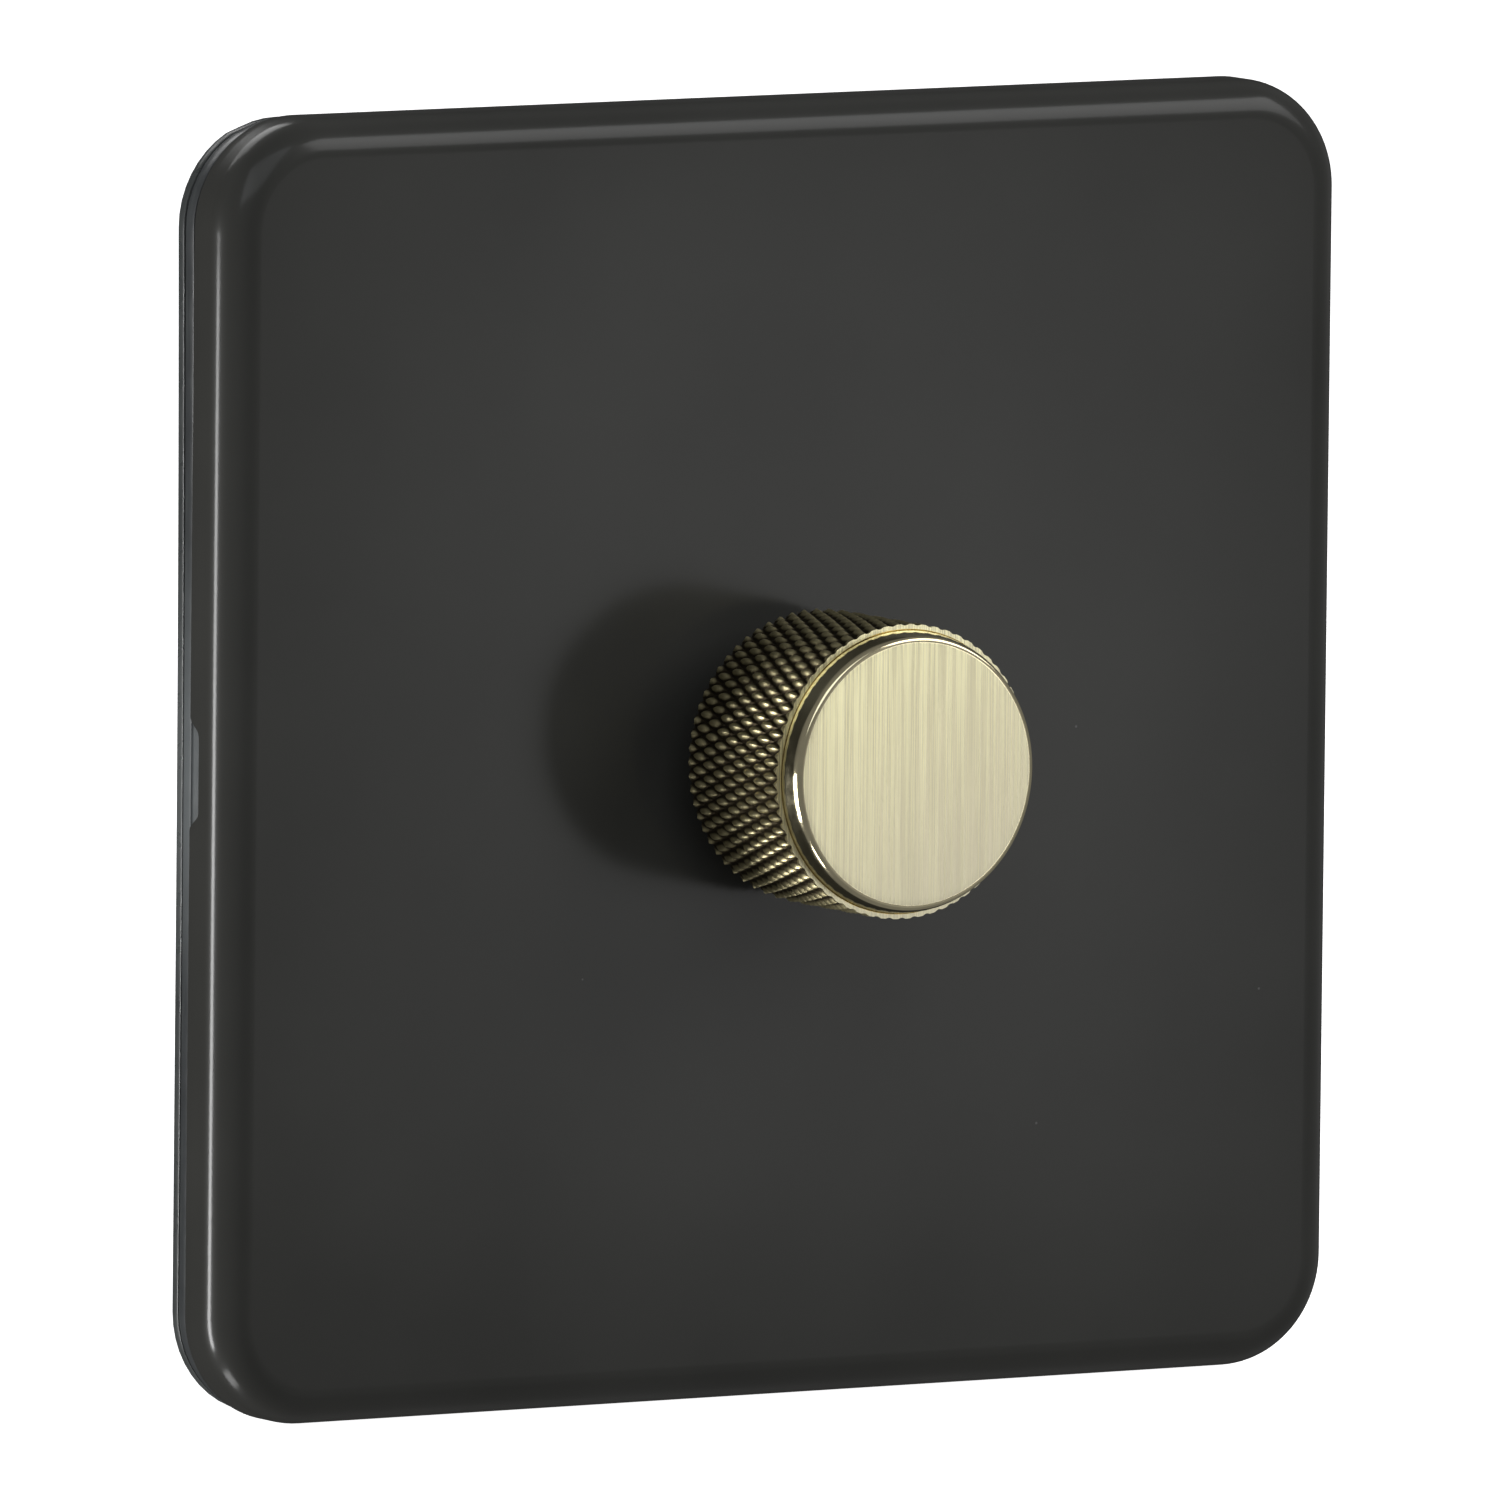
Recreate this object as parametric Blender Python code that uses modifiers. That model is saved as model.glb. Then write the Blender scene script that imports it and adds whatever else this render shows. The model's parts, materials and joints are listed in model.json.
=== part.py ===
"""Screwless wall dimmer switch: a turn-to-dim, push-on push-off rotary dimmer for a one-gang wall box.

Everything is modelled lying on its back, as it would on a bench: local +Z points out of the wall
towards the room, local +Y is up the wall, and z = 0 is the plane of the wall. The empty wall_plane
stands the whole assembly upright, so that the face looks along world -Y.

Sizes and places are in millimetres. The helpers that make and place objects turn them into metres.
"""

import math

import bmesh
import bpy
from mathutils import Matrix

MM = 0.001  # one millimetre, in metres
GAP = 0.3  # clearance kept between pieces that rest on each other

# Cover, frame and gasket
PLATE_SIZE = 88.0
PLATE_CORNER = 7.5
PLATE_EDGE_RADIUS = 2.5
PLATE_DEPTH = 4.6
SHEET = 1.0
GASKET_THICKNESS = 0.8
FLANGE_THICKNESS = 1.1
FLANGE_INSET = 0.3
WEB_THICKNESS = 1.5
BOX_SCREW_SPACING = 60.3

GASKET_TOP = GASKET_THICKNESS
FRAME_BACK = GASKET_TOP + 0.1
FLANGE_TOP = FRAME_BACK + FLANGE_THICKNESS
WEB_TOP = FRAME_BACK + WEB_THICKNESS
PLATE_RIM = FLANGE_TOP + 0.2
PLATE_FACE = PLATE_RIM + PLATE_DEPTH
PLATE_INSIDE = PLATE_FACE - SHEET
FLANGE_SIZE = PLATE_SIZE - 2 * FLANGE_INSET

# Knob and spindle
KNOB_RADIUS = 10.0
KNOB_FACE_RADIUS = 9.05
KNOB_WALL = 1.3
KNOB_BACK = 10.2
KNURL_END = 21.9
KNOB_FACE = 23.6
KNOB_CEILING = KNOB_FACE - 1.5
SPINDLE_RADIUS = 3.0
SPINDLE_TIP = 20.5
SPINDLE_END = -9.4
SPINDLE_FLAT = 2.0
RUNNING_CLEARANCE = 0.08
PUSH_TRAVEL = 1.5

# Bush, nut and heatsink plate
BUSH_RADIUS = 5.0
BUSH_TIP = 6.4
HEATSINK_TOP = 0.6
HEATSINK_THICKNESS = 1.5
HEATSINK_BACK = HEATSINK_TOP - HEATSINK_THICKNESS
EARTH_X = 13.0
EARTH_Y = 30.8
EARTH_SPRING_Y = 25.4
EARTH_SPRING_WIDTH = 4.4
BUSH_FLANGE_TOP = HEATSINK_BACK - GAP
BUSH_FLANGE_BACK = BUSH_FLANGE_TOP - 1.0

# Potentiometer and push switch
POT_RADIUS = 9.5
POT_WALL = 0.8
POT_FRONT = BUSH_FLANGE_BACK - GAP
POT_BACK = -8.4
TRACK_TOP = -3.5
TRACK_BACK = -4.7
TRACK_BORE = 5.7
LUG_PITCH = 3.0
LUG_ROW = -11.4
ROTOR_TOP = -5.7
ROTOR_BACK = -8.0
SWITCH_WALL = 1.4
SWITCH_TOP = -8.7
SWITCH_COVER_BACK = -9.9
SWITCH_BACK = -21.3
SWITCH_FLOOR = SWITCH_BACK + 1.2
PLUNGER_TOP = SPINDLE_END - GAP
PLUNGER_SKIRT_END = -15.4
CONTACT_OFFSET = 6.4

# Module case and circuit board
CASE_WIDTH = 48.0
CASE_HEIGHT = 54.0
CASE_WALL = 1.6
CASE_TOP = HEATSINK_BACK - GAP
CASE_BACK = -25.0
CASE_FLOOR = CASE_BACK + CASE_WALL
CASE_SCREW_X = 20.6
CASE_SCREW_Y = 23.6
BOARD_TOP = -9.2
BOARD_BACK = -10.8
PARTS_TOP = BOARD_BACK - GAP

# Terminals, in a row along the bottom of the case
TERMINAL_COUNT = 3
TERMINAL_PITCH = 10.5
TERMINAL_Y = -20.6
CAGE_WIDTH = 8.0
CAGE_LENGTH = 7.0
CAGE_TOP = -11.6
CAGE_BACK = -20.0
WIRE_OPENING = 5.2
WIRE_CENTRE = -14.7
WIRE_LOW = WIRE_CENTRE - WIRE_OPENING / 2
WIRE_HIGH = WIRE_CENTRE + WIRE_OPENING / 2

ROUND = 24
SMALL_ROUND = 12


# ---------------------------------------------------------------- scene and materials


def clear_scene():
    for obj in list(bpy.data.objects):
        bpy.data.objects.remove(obj)


def make_collection(name, hidden=False):
    collection = bpy.data.collections.new(name)
    bpy.context.scene.collection.children.link(collection)
    collection.hide_render = hidden
    return collection


clear_scene()
PARTS = make_collection("dimmer_switch")
CUTTERS = make_collection("cutters", hidden=True)


def make_empty(name, parent=None):
    empty = bpy.data.objects.new(name, None)
    PARTS.objects.link(empty)
    empty.parent = parent
    return empty


WALL_PLANE = make_empty("wall_plane")
WALL_PLANE.rotation_euler = (math.radians(90), 0, 0)
PUSH_AXIS = make_empty("push_axis", WALL_PLANE)
TURN_AXIS = make_empty("turn_axis", PUSH_AXIS)


def make_material(name, color, roughness, metallic=0.0):
    material = bpy.data.materials.new(name)
    material.use_nodes = True
    shader = material.node_tree.nodes["Principled BSDF"]
    shader.inputs["Base Color"].default_value = (*color, 1.0)
    shader.inputs["Roughness"].default_value = roughness
    shader.inputs["Metallic"].default_value = metallic
    return material


MATT_BLACK = make_material("matt_black_coat", (0.030, 0.031, 0.029), 0.45, 0.2)
FRAME_PLASTIC = make_material("frame_plastic", (0.035, 0.036, 0.038), 0.5)
CLEAR_GASKET = make_material("clear_gasket", (0.45, 0.47, 0.47), 0.25)
ANTIQUE_BRASS = make_material("antique_brass", (0.66, 0.60, 0.38), 0.3, 1.0)
BRASS = make_material("brass", (0.72, 0.55, 0.25), 0.3, 1.0)
ZINC_STEEL = make_material("zinc_steel", (0.62, 0.62, 0.63), 0.3, 1.0)
SPRING_STEEL = make_material("spring_steel", (0.5, 0.5, 0.52), 0.3, 1.0)
ALUMINIUM = make_material("aluminium", (0.75, 0.76, 0.78), 0.35, 1.0)
BLACK_PLASTIC = make_material("black_plastic", (0.02, 0.02, 0.022), 0.45)
GREY_PLASTIC = make_material("grey_plastic", (0.25, 0.26, 0.27), 0.5)
WHITE_NYLON = make_material("white_nylon", (0.8, 0.79, 0.75), 0.5)
BOARD_GREEN = make_material("board_green", (0.03, 0.16, 0.07), 0.4)
PHENOLIC = make_material("phenolic", (0.35, 0.2, 0.1), 0.6)
COPPER = make_material("enamelled_copper", (0.65, 0.25, 0.08), 0.3, 1.0)
FERRITE = make_material("ferrite", (0.06, 0.06, 0.065), 0.7)
FILM_YELLOW = make_material("film_yellow", (0.75, 0.55, 0.05), 0.45)
CERAMIC = make_material("fuse_ceramic", (0.8, 0.78, 0.72), 0.4)
SILICONE = make_material("silicone_pad", (0.45, 0.5, 0.55), 0.7)


# ---------------------------------------------------------------- modelling helpers


def add_mesh(name, mesh, material=None, parent=None):
    """Links a mesh as a part, or as a cutter or a shape to join when it has no material."""
    obj = bpy.data.objects.new(name, mesh)
    helper = material is None
    (CUTTERS if helper else PARTS).objects.link(obj)
    obj.parent = parent or WALL_PLANE
    if helper:
        obj.hide_render = True
        obj.display_type = "WIRE"
    else:
        mesh.materials.append(material)
    return obj


def finish_bmesh(name, bm, material, parent, smooth_angle=35):
    """Turns a bmesh in millimetres into an object in metres, shaded smooth but for its sharp edges."""
    bmesh.ops.scale(bm, vec=(MM, MM, MM), verts=bm.verts)
    bmesh.ops.recalc_face_normals(bm, faces=bm.faces)
    mesh = bpy.data.meshes.new(name)
    bm.to_mesh(mesh)
    bm.free()
    mesh.shade_smooth()
    mesh.set_sharp_from_angle(angle=math.radians(smooth_angle))
    return add_mesh(name, mesh, material, parent)


def put(obj, x, y, z):
    """Places an object by its origin."""
    obj.location = (x * MM, y * MM, z * MM)
    return obj


def block(name, size, low, high, material=None, parent=None, at=(0, 0),
          corner=0, corner_steps=6, front=0, front_steps=4):
    """A box of size (x, y) between two heights, with round upright corners and a round front edge."""
    bm = bmesh.new()
    bmesh.ops.create_cube(bm, size=1)
    bmesh.ops.scale(bm, vec=(size[0], size[1], high - low), verts=bm.verts)
    bmesh.ops.translate(bm, vec=(at[0], at[1], (high + low) / 2), verts=bm.verts)
    if corner:
        upright = [e for e in bm.edges if abs(e.verts[0].co.z - e.verts[1].co.z) > (high - low) / 2]
        bmesh.ops.bevel(bm, geom=upright, offset=corner, segments=corner_steps, affect="EDGES", profile=0.5)
    if front:
        face = max(bm.faces, key=lambda f: f.calc_center_median().z)
        bmesh.ops.bevel(bm, geom=list(face.edges), offset=front, segments=front_steps,
                        affect="EDGES", profile=0.5)
    return finish_bmesh(name, bm, material, parent)


def cylinder(name, radius, low, high, material=None, parent=None, at=(0, 0), segments=ROUND):
    bm = bmesh.new()
    bmesh.ops.create_cone(bm, cap_ends=True, segments=segments, radius1=radius, radius2=radius,
                          depth=high - low)
    bmesh.ops.translate(bm, vec=(at[0], at[1], (high + low) / 2), verts=bm.verts)
    return finish_bmesh(name, bm, material, parent)


def lying_cylinder(name, radius, start, end, axis, across, height, material=None, segments=SMALL_ROUND):
    """A cylinder along local X or Y from start to end, centred at across on the other axis."""
    bm = bmesh.new()
    bmesh.ops.create_cone(bm, cap_ends=True, segments=segments, radius1=radius, radius2=radius,
                          depth=end - start)
    middle = (start + end) / 2
    if axis == "X":
        turn, place = (0, math.radians(90)), (middle, across, height)
    else:
        turn, place = (math.radians(90), 0), (across, middle, height)
    obj = finish_bmesh(name, bm, material, None)
    obj.rotation_euler = (turn[0], turn[1], 0)
    return put(obj, *place)


def turned(name, profile, material=None, parent=None, at=(0, 0), segments=ROUND):
    """A shape turned about local Z. The (radius, height) profile runs down its outer side, and a
    profile that doesn't start and end on the axis closes up its bore."""
    closed = profile[0][0] > 0
    count = len(profile)
    edges = [(i, i + 1) for i in range(count - 1)] + ([(count - 1, 0)] if closed else [])
    mesh = bpy.data.meshes.new(name)
    mesh.from_pydata([(r * MM, 0, z * MM) for r, z in profile], edges, [])
    obj = put(add_mesh(name, mesh, material, parent), *at, 0)
    screw = obj.modifiers.new("turn", "SCREW")
    screw.axis = "Z"
    screw.steps = screw.render_steps = segments
    screw.use_merge_vertices = True
    screw.merge_threshold = 0.000005
    return obj


def extruded(name, loops, low, high, material=None, parent=None):
    """A flat outline between two heights. Loops after the first are holes in it."""
    curve = bpy.data.curves.new(name, "CURVE")
    curve.dimensions = "2D"
    curve.fill_mode = "BOTH"
    curve.extrude = (high - low) / 2
    for loop in loops:
        spline = curve.splines.new("POLY")
        spline.points.add(len(loop) - 1)
        for point, (x, y) in zip(spline.points, loop):
            point.co = (x, y, 0, 1)
        spline.use_cyclic_u = True
    outline = bpy.data.objects.new(name + "_outline", curve)
    CUTTERS.objects.link(outline)
    graph = bpy.context.evaluated_depsgraph_get()
    flat = bpy.data.meshes.new_from_object(outline.evaluated_get(graph))
    bpy.data.objects.remove(outline)
    bm = bmesh.new()
    bm.from_mesh(flat)
    bmesh.ops.remove_doubles(bm, verts=bm.verts, dist=0.001)
    bmesh.ops.translate(bm, vec=(0, 0, (low + high) / 2), verts=bm.verts)
    return finish_bmesh(name, bm, material, parent)


def standing(obj):
    """Stands a shape extruded as (up, height, across) on edge, as (across, up, height)."""
    obj.matrix_basis = Matrix(((0, 0, 1, 0), (1, 0, 0, 0), (0, 1, 0, 0), (0, 0, 0, 1)))
    return obj


def tube(name, points, radius, material, parent=None, resolution=2):
    """A round wire through a list of points."""
    curve = bpy.data.curves.new(name, "CURVE")
    curve.dimensions = "3D"
    curve.bevel_depth = radius * MM
    curve.bevel_resolution = resolution
    curve.use_fill_caps = True
    spline = curve.splines.new("POLY")
    spline.points.add(len(points) - 1)
    for point, place in zip(spline.points, points):
        point.co = (place[0] * MM, place[1] * MM, place[2] * MM, 1)
    curve.materials.append(material)
    obj = bpy.data.objects.new(name, curve)
    PARTS.objects.link(obj)
    obj.parent = parent or WALL_PLANE
    return obj


def combine(obj, operation, *others):
    for other in others:
        modifier = obj.modifiers.new(other.name, "BOOLEAN")
        modifier.operation = operation
        modifier.object = other
        modifier.solver = "EXACT"
    return obj


def cut(obj, *cutters):
    return combine(obj, "DIFFERENCE", *cutters)


def join(obj, *others):
    return combine(obj, "UNION", *others)


# ---------------------------------------------------------------- outlines


def arc(radius, start, end, steps, at=(0, 0)):
    """Points along an arc, from start to end in degrees."""
    angles = [math.radians(start + (end - start) * i / steps) for i in range(steps + 1)]
    return [(at[0] + radius * math.cos(a), at[1] + radius * math.sin(a)) for a in angles]


def circle(radius, at=(0, 0), steps=ROUND):
    return arc(radius, 0, 360, steps, at)[:-1]


def rectangle(width, height, at=(0, 0)):
    x, y, half_width, half_height = *at, width / 2, height / 2
    return [(x - half_width, y - half_height), (x + half_width, y - half_height),
            (x + half_width, y + half_height), (x - half_width, y + half_height)]


def upright_slot(width, length, at=(0, 0), steps=6):
    """A slot with round ends, longer up the wall than across."""
    reach = (length - width) / 2
    top = arc(width / 2, 0, 180, steps, (at[0], at[1] + reach))
    bottom = arc(width / 2, 180, 360, steps, (at[0], at[1] - reach))
    return top + bottom


def d_shape(radius, flat, steps=SMALL_ROUND):
    """A circle with a flat across its top, flat away from the centre."""
    edge = math.degrees(math.asin(flat / radius))
    return arc(radius, 180 - edge, 360 + edge, steps)


def toothed(outer, inner, teeth):
    """A ring of pointed teeth."""
    return [
        point
        for i in range(teeth)
        for point in (arc(outer, 360 * i / teeth, 360 * i / teeth, 1)[0],
                      arc(inner, 360 * (i + 0.5) / teeth, 360 * (i + 0.5) / teeth, 1)[0])
    ]


# ---------------------------------------------------------------- fasteners


def front_screw(name, head_radius, head_height, shank_radius, seat, tip, at, material, parent=None):
    """A slotted screw with its domed head towards the room."""
    top = seat + head_height
    slot_width, slot_floor = head_radius * 0.3, top - head_height * 0.5
    profile = [(0, top), (head_radius * 0.6, top), (head_radius, top - head_height * 0.45),
               (head_radius, seat), (shank_radius, seat), (shank_radius, tip + shank_radius * 0.6),
               (shank_radius * 0.5, tip), (0, tip)]
    body = turned(name, profile, material, parent, at, SMALL_ROUND)
    return cut(body, block(name + "_slot", (head_radius * 3, slot_width), slot_floor, top + 1, at=at))


def rear_screw(name, head_radius, head_height, shank_radius, seat, tip, at, material, parent=None):
    """A slotted cylinder-head screw driven from the back of the module."""
    back, chamfer = seat - head_height, 0.3
    slot_width, slot_floor = head_radius * 0.35, back + head_height * 0.5
    profile = [(0, tip), (shank_radius * 0.7, tip), (shank_radius, tip - shank_radius * 0.4),
               (shank_radius, seat), (head_radius, seat), (head_radius, back + chamfer),
               (head_radius - chamfer, back), (0, back)]
    body = turned(name, profile, material, parent, at, SMALL_ROUND)
    return cut(body, block(name + "_slot", (head_radius * 3, slot_width), back - 1, slot_floor, at=at))


# ---------------------------------------------------------------- cover, frame and gasket


def make_front_plate():
    """A pressed metal cover: flat face, round edge, short skirt, spindle hole and pry notch."""
    plate = block("front_plate", (PLATE_SIZE, PLATE_SIZE), PLATE_RIM, PLATE_FACE, MATT_BLACK,
                  corner=PLATE_CORNER, corner_steps=6, front=PLATE_EDGE_RADIUS, front_steps=4)
    inner_size = PLATE_SIZE - 2 * SHEET
    hollow = block("plate_hollow", (inner_size, inner_size), PLATE_RIM - 1, PLATE_INSIDE,
                   corner=PLATE_CORNER - SHEET, corner_steps=6,
                   front=PLATE_EDGE_RADIUS - SHEET, front_steps=2)
    hole = cylinder("plate_hole", BUSH_RADIUS + 0.6, PLATE_INSIDE - 1, PLATE_FACE + 1)
    notch_depth, notch_length, notch_slope = 1.2, 5.2, 1.2
    short_half, long_half = notch_length / 2, notch_length / 2 + notch_slope
    below, top = PLATE_RIM - 1, PLATE_RIM + notch_depth
    outline = [(below, -long_half), (PLATE_RIM, -long_half), (top, -short_half),
               (top, short_half), (PLATE_RIM, long_half), (below, long_half)]
    notch = extruded("pry_notch", [outline], -2, 2)
    notch.rotation_euler = (0, math.radians(-90), 0)
    put(notch, -PLATE_SIZE / 2, 0, 0)
    return cut(plate, hollow, hole, notch)


def make_mounting_frame():
    """The moulded frame that screws to the wall box. The cover snaps onto the lugs around its wall."""
    frame = block("mounting_frame", (FLANGE_SIZE, FLANGE_SIZE), FRAME_BACK, FLANGE_TOP, FRAME_PLASTIC,
                  corner=PLATE_CORNER - FLANGE_INSET, corner_steps=6)
    wall_size = PLATE_SIZE - 2 * SHEET - 0.8
    wall_thickness = 2.0
    wall_top = PLATE_INSIDE - 0.5
    pocket_size = wall_size - 2 * wall_thickness
    wall = block("frame_wall", (wall_size, wall_size), FRAME_BACK + 0.2, wall_top,
                 corner=PLATE_CORNER - SHEET - 0.4, corner_steps=6,
                 front=PLATE_EDGE_RADIUS - SHEET, front_steps=2)
    pocket = block("frame_pocket", (pocket_size, pocket_size), WEB_TOP, PLATE_FACE, corner=4, corner_steps=4)
    join(frame, wall)
    cut(frame, pocket)
    lug_reach, lug_length, lug_offset = 0.25, 6.3, 27.2
    for i, (sx, sy) in enumerate(((-1, 0), (1, 0), (0, -1), (0, 1))):
        for side in (-1, 1):
            place = ((wall_size - 1) / 2 + lug_reach) * sx + side * lug_offset * abs(sy)
            rise = ((wall_size - 1) / 2 + lug_reach) * sy + side * lug_offset * abs(sx)
            size = (1 if sx else lug_length, lug_length if sx else 1)
            lug = block(f"snap_lug_{i}_{side}", size, FLANGE_TOP + 0.6, FLANGE_TOP + 1.6, at=(place, rise))
            join(frame, lug)
    rib_width, rib_foot, rib_top = 1.4, WEB_TOP - 0.5, WEB_TOP + 2
    for side in (-1, 1):
        join(frame, block(f"frame_rib_up_{side}", (rib_width, 26), rib_foot, rib_top, at=(0, side * 26)),
             block(f"frame_rib_across_{side}", (15, rib_width), rib_foot, rib_top, at=(side * 18, 0)))
    cut(frame, cylinder("frame_bush_hole", BUSH_RADIUS + 0.3, -1, PLATE_FACE))
    for side in (-1, 1):
        slot = upright_slot(4.0, 7.0, (side * BOX_SCREW_SPACING / 2, 0))
        cut(frame, extruded(f"frame_screw_slot_{side}", [slot], -1, PLATE_FACE))
        for end in (-1, 1):
            window = rectangle(13, 8, (side * 12, end * 17))
            cut(frame, extruded(f"frame_window_{side}_{end}", [window], -1, PLATE_FACE))
    slot = block("earth_spring_slot", (EARTH_SPRING_WIDTH + 0.8, 3.2), -1, WEB_TOP + 1,
                 at=(EARTH_X, EARTH_SPRING_Y))
    return cut(frame, slot)


def make_wall_gasket():
    """The clear flat seal between the frame and the wall."""
    gasket = block("wall_gasket", (FLANGE_SIZE, FLANGE_SIZE), 0, GASKET_TOP, CLEAR_GASKET,
                   corner=PLATE_CORNER - FLANGE_INSET, corner_steps=6)
    opening = block("gasket_opening", (52, 64), -1, 2, at=(0, 3), corner=2, corner_steps=3)
    cut(gasket, opening)
    for side in (-1, 1):
        slot = upright_slot(4.6, 7.6, (side * BOX_SCREW_SPACING / 2, 0))
        cut(gasket, extruded(f"gasket_slot_{side}", [slot], -1, 2))
    return gasket


def make_fixing_screws():
    for side, where in ((-1, "left"), (1, "right")):
        front_screw(f"fixing_screw_{where}", 3.3, 2.1, 1.75, WEB_TOP + 0.1, -20,
                    (side * BOX_SCREW_SPACING / 2, 0), ZINC_STEEL)


# ---------------------------------------------------------------- knob and spindle


def make_knob_shell():
    """The turned metal knob: knurled barrel, narrow shoulder, polished step and flat face."""
    step, chamfer = 0.45, 0.25
    neck = KNOB_RADIUS - 0.5
    inside = KNOB_RADIUS - KNOB_WALL
    profile = [
        (0, KNOB_FACE), (KNOB_FACE_RADIUS - chamfer, KNOB_FACE), (KNOB_FACE_RADIUS, KNOB_FACE - chamfer),
        (KNOB_FACE_RADIUS, KNURL_END + 2 * step), (neck, KNURL_END + step), (neck, KNURL_END),
        (KNOB_RADIUS, KNURL_END), (KNOB_RADIUS, KNOB_BACK + chamfer), (KNOB_RADIUS - chamfer, KNOB_BACK),
        (inside, KNOB_BACK), (inside, KNOB_CEILING), (0, KNOB_CEILING),
    ]
    turned("knob_shell", profile, ANTIQUE_BRASS, TURN_AXIS, segments=40)


def make_knob_insert():
    """The plastic hub pressed into the shell, with the bore that grips the spindle."""
    top = KNOB_CEILING - GAP
    hub_bottom = KNOB_BACK + 0.2
    flange_radius = KNOB_RADIUS - KNOB_WALL - 0.2
    hub, bore = 5.2, SPINDLE_RADIUS + 0.1
    bore_end = SPINDLE_TIP + 0.4
    profile = [(0, top), (flange_radius, top), (flange_radius, top - 2), (hub, top - 2),
               (hub, hub_bottom), (bore, hub_bottom), (bore, bore_end), (0, bore_end)]
    insert = turned("knob_insert", profile, WHITE_NYLON, TURN_AXIS)
    for i in range(3):
        rib = block(f"insert_rib_{i}", (7.6, 1.2), top - 8, top - 1, parent=TURN_AXIS, at=(4.6, 0))
        rib.rotation_euler = (0, 0, math.radians(120 * i))
        join(insert, rib)
    groove = turned("insert_groove", [(hub + 1, 13.1), (hub + 1, 11.9), (hub - 0.7, 11.9),
                                      (hub - 0.7, 13.1)], parent=TURN_AXIS)
    bore_again = cylinder("insert_bore", bore, hub_bottom - 1, bore_end, parent=TURN_AXIS)
    return cut(insert, groove, bore_again)


def make_knob_spring_clip():
    """The split steel ring that squeezes the hub onto the spindle."""
    outer, inner = 5.5, 4.75
    ring = arc(outer, 20, 340, 24) + arc(inner, 340, 20, 24)
    extruded("knob_spring_clip", [ring], 12.1, 12.9, SPRING_STEEL, TURN_AXIS)


def make_spindle():
    """Round through the bush, splined and split under the knob, with a flat where it drives the rotor."""
    groove_top, groove_bottom = BUSH_FLANGE_BACK - 0.25, BUSH_FLANGE_BACK - 0.95
    waist = SPINDLE_RADIUS - 0.6
    spline_start = 11
    profile = [(0, spline_start), (SPINDLE_RADIUS, spline_start), (SPINDLE_RADIUS, groove_top),
               (waist, groove_top), (waist, groove_bottom), (SPINDLE_RADIUS, groove_bottom),
               (SPINDLE_RADIUS, SPINDLE_END), (0, SPINDLE_END)]
    spindle = turned("spindle", profile, BRASS, TURN_AXIS)
    spline = extruded("spindle_spline", [toothed(SPINDLE_RADIUS, SPINDLE_RADIUS - 0.3, 18)],
                      spline_start - 0.5, SPINDLE_TIP, parent=TURN_AXIS)
    join(spindle, spline)
    slit = block("spindle_slit", (10, 0.9), 12.5, SPINDLE_TIP + 1, parent=TURN_AXIS)
    flat_depth = 4
    flat = block("spindle_flat", (10, flat_depth), SPINDLE_END - 1, ROTOR_TOP + PUSH_TRAVEL + GAP,
                 parent=TURN_AXIS, at=(0, SPINDLE_FLAT + flat_depth / 2))
    return cut(spindle, slit, flat)


def make_spindle_circlip():
    """The E-shaped clip in the spindle's groove, which rests against the bush."""
    ring = arc(4.6, -65, 245, 20) + arc(SPINDLE_RADIUS - 0.5, 245, -65, 16)
    top = BUSH_FLANGE_BACK - GAP
    extruded("spindle_circlip", [ring], top - 0.6, top, SPRING_STEEL, TURN_AXIS)


# ---------------------------------------------------------------- bush, nut and heatsink


def make_threaded_bush():
    """The bush that carries the spindle: a barrel for the nut, and a flange behind the heatsink."""
    chamfer, flange, bore = 0.4, 7.0, SPINDLE_RADIUS + RUNNING_CLEARANCE
    profile = [(BUSH_RADIUS - chamfer, BUSH_TIP), (BUSH_RADIUS, BUSH_TIP - chamfer),
               (BUSH_RADIUS, BUSH_FLANGE_TOP), (flange, BUSH_FLANGE_TOP), (flange, BUSH_FLANGE_BACK),
               (bore, BUSH_FLANGE_BACK), (bore, BUSH_TIP)]
    turned("threaded_bush", profile, BRASS)


def make_bush_nut():
    """The hexagon nut that clamps the module to the frame."""
    across_flats = 14
    hexagon = circle(across_flats / 2 / math.cos(math.radians(30)), steps=6)
    extruded("bush_nut", [hexagon, circle(BUSH_RADIUS + 0.1)], WEB_TOP + 0.9, WEB_TOP + 2.9, BRASS)


def make_lock_washer():
    """A toothed washer under the nut."""
    extruded("lock_washer", [toothed(8.0, 7.2, 12), circle(BUSH_RADIUS + 0.2)],
             WEB_TOP + 0.15, WEB_TOP + 0.75, SPRING_STEEL)


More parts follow.
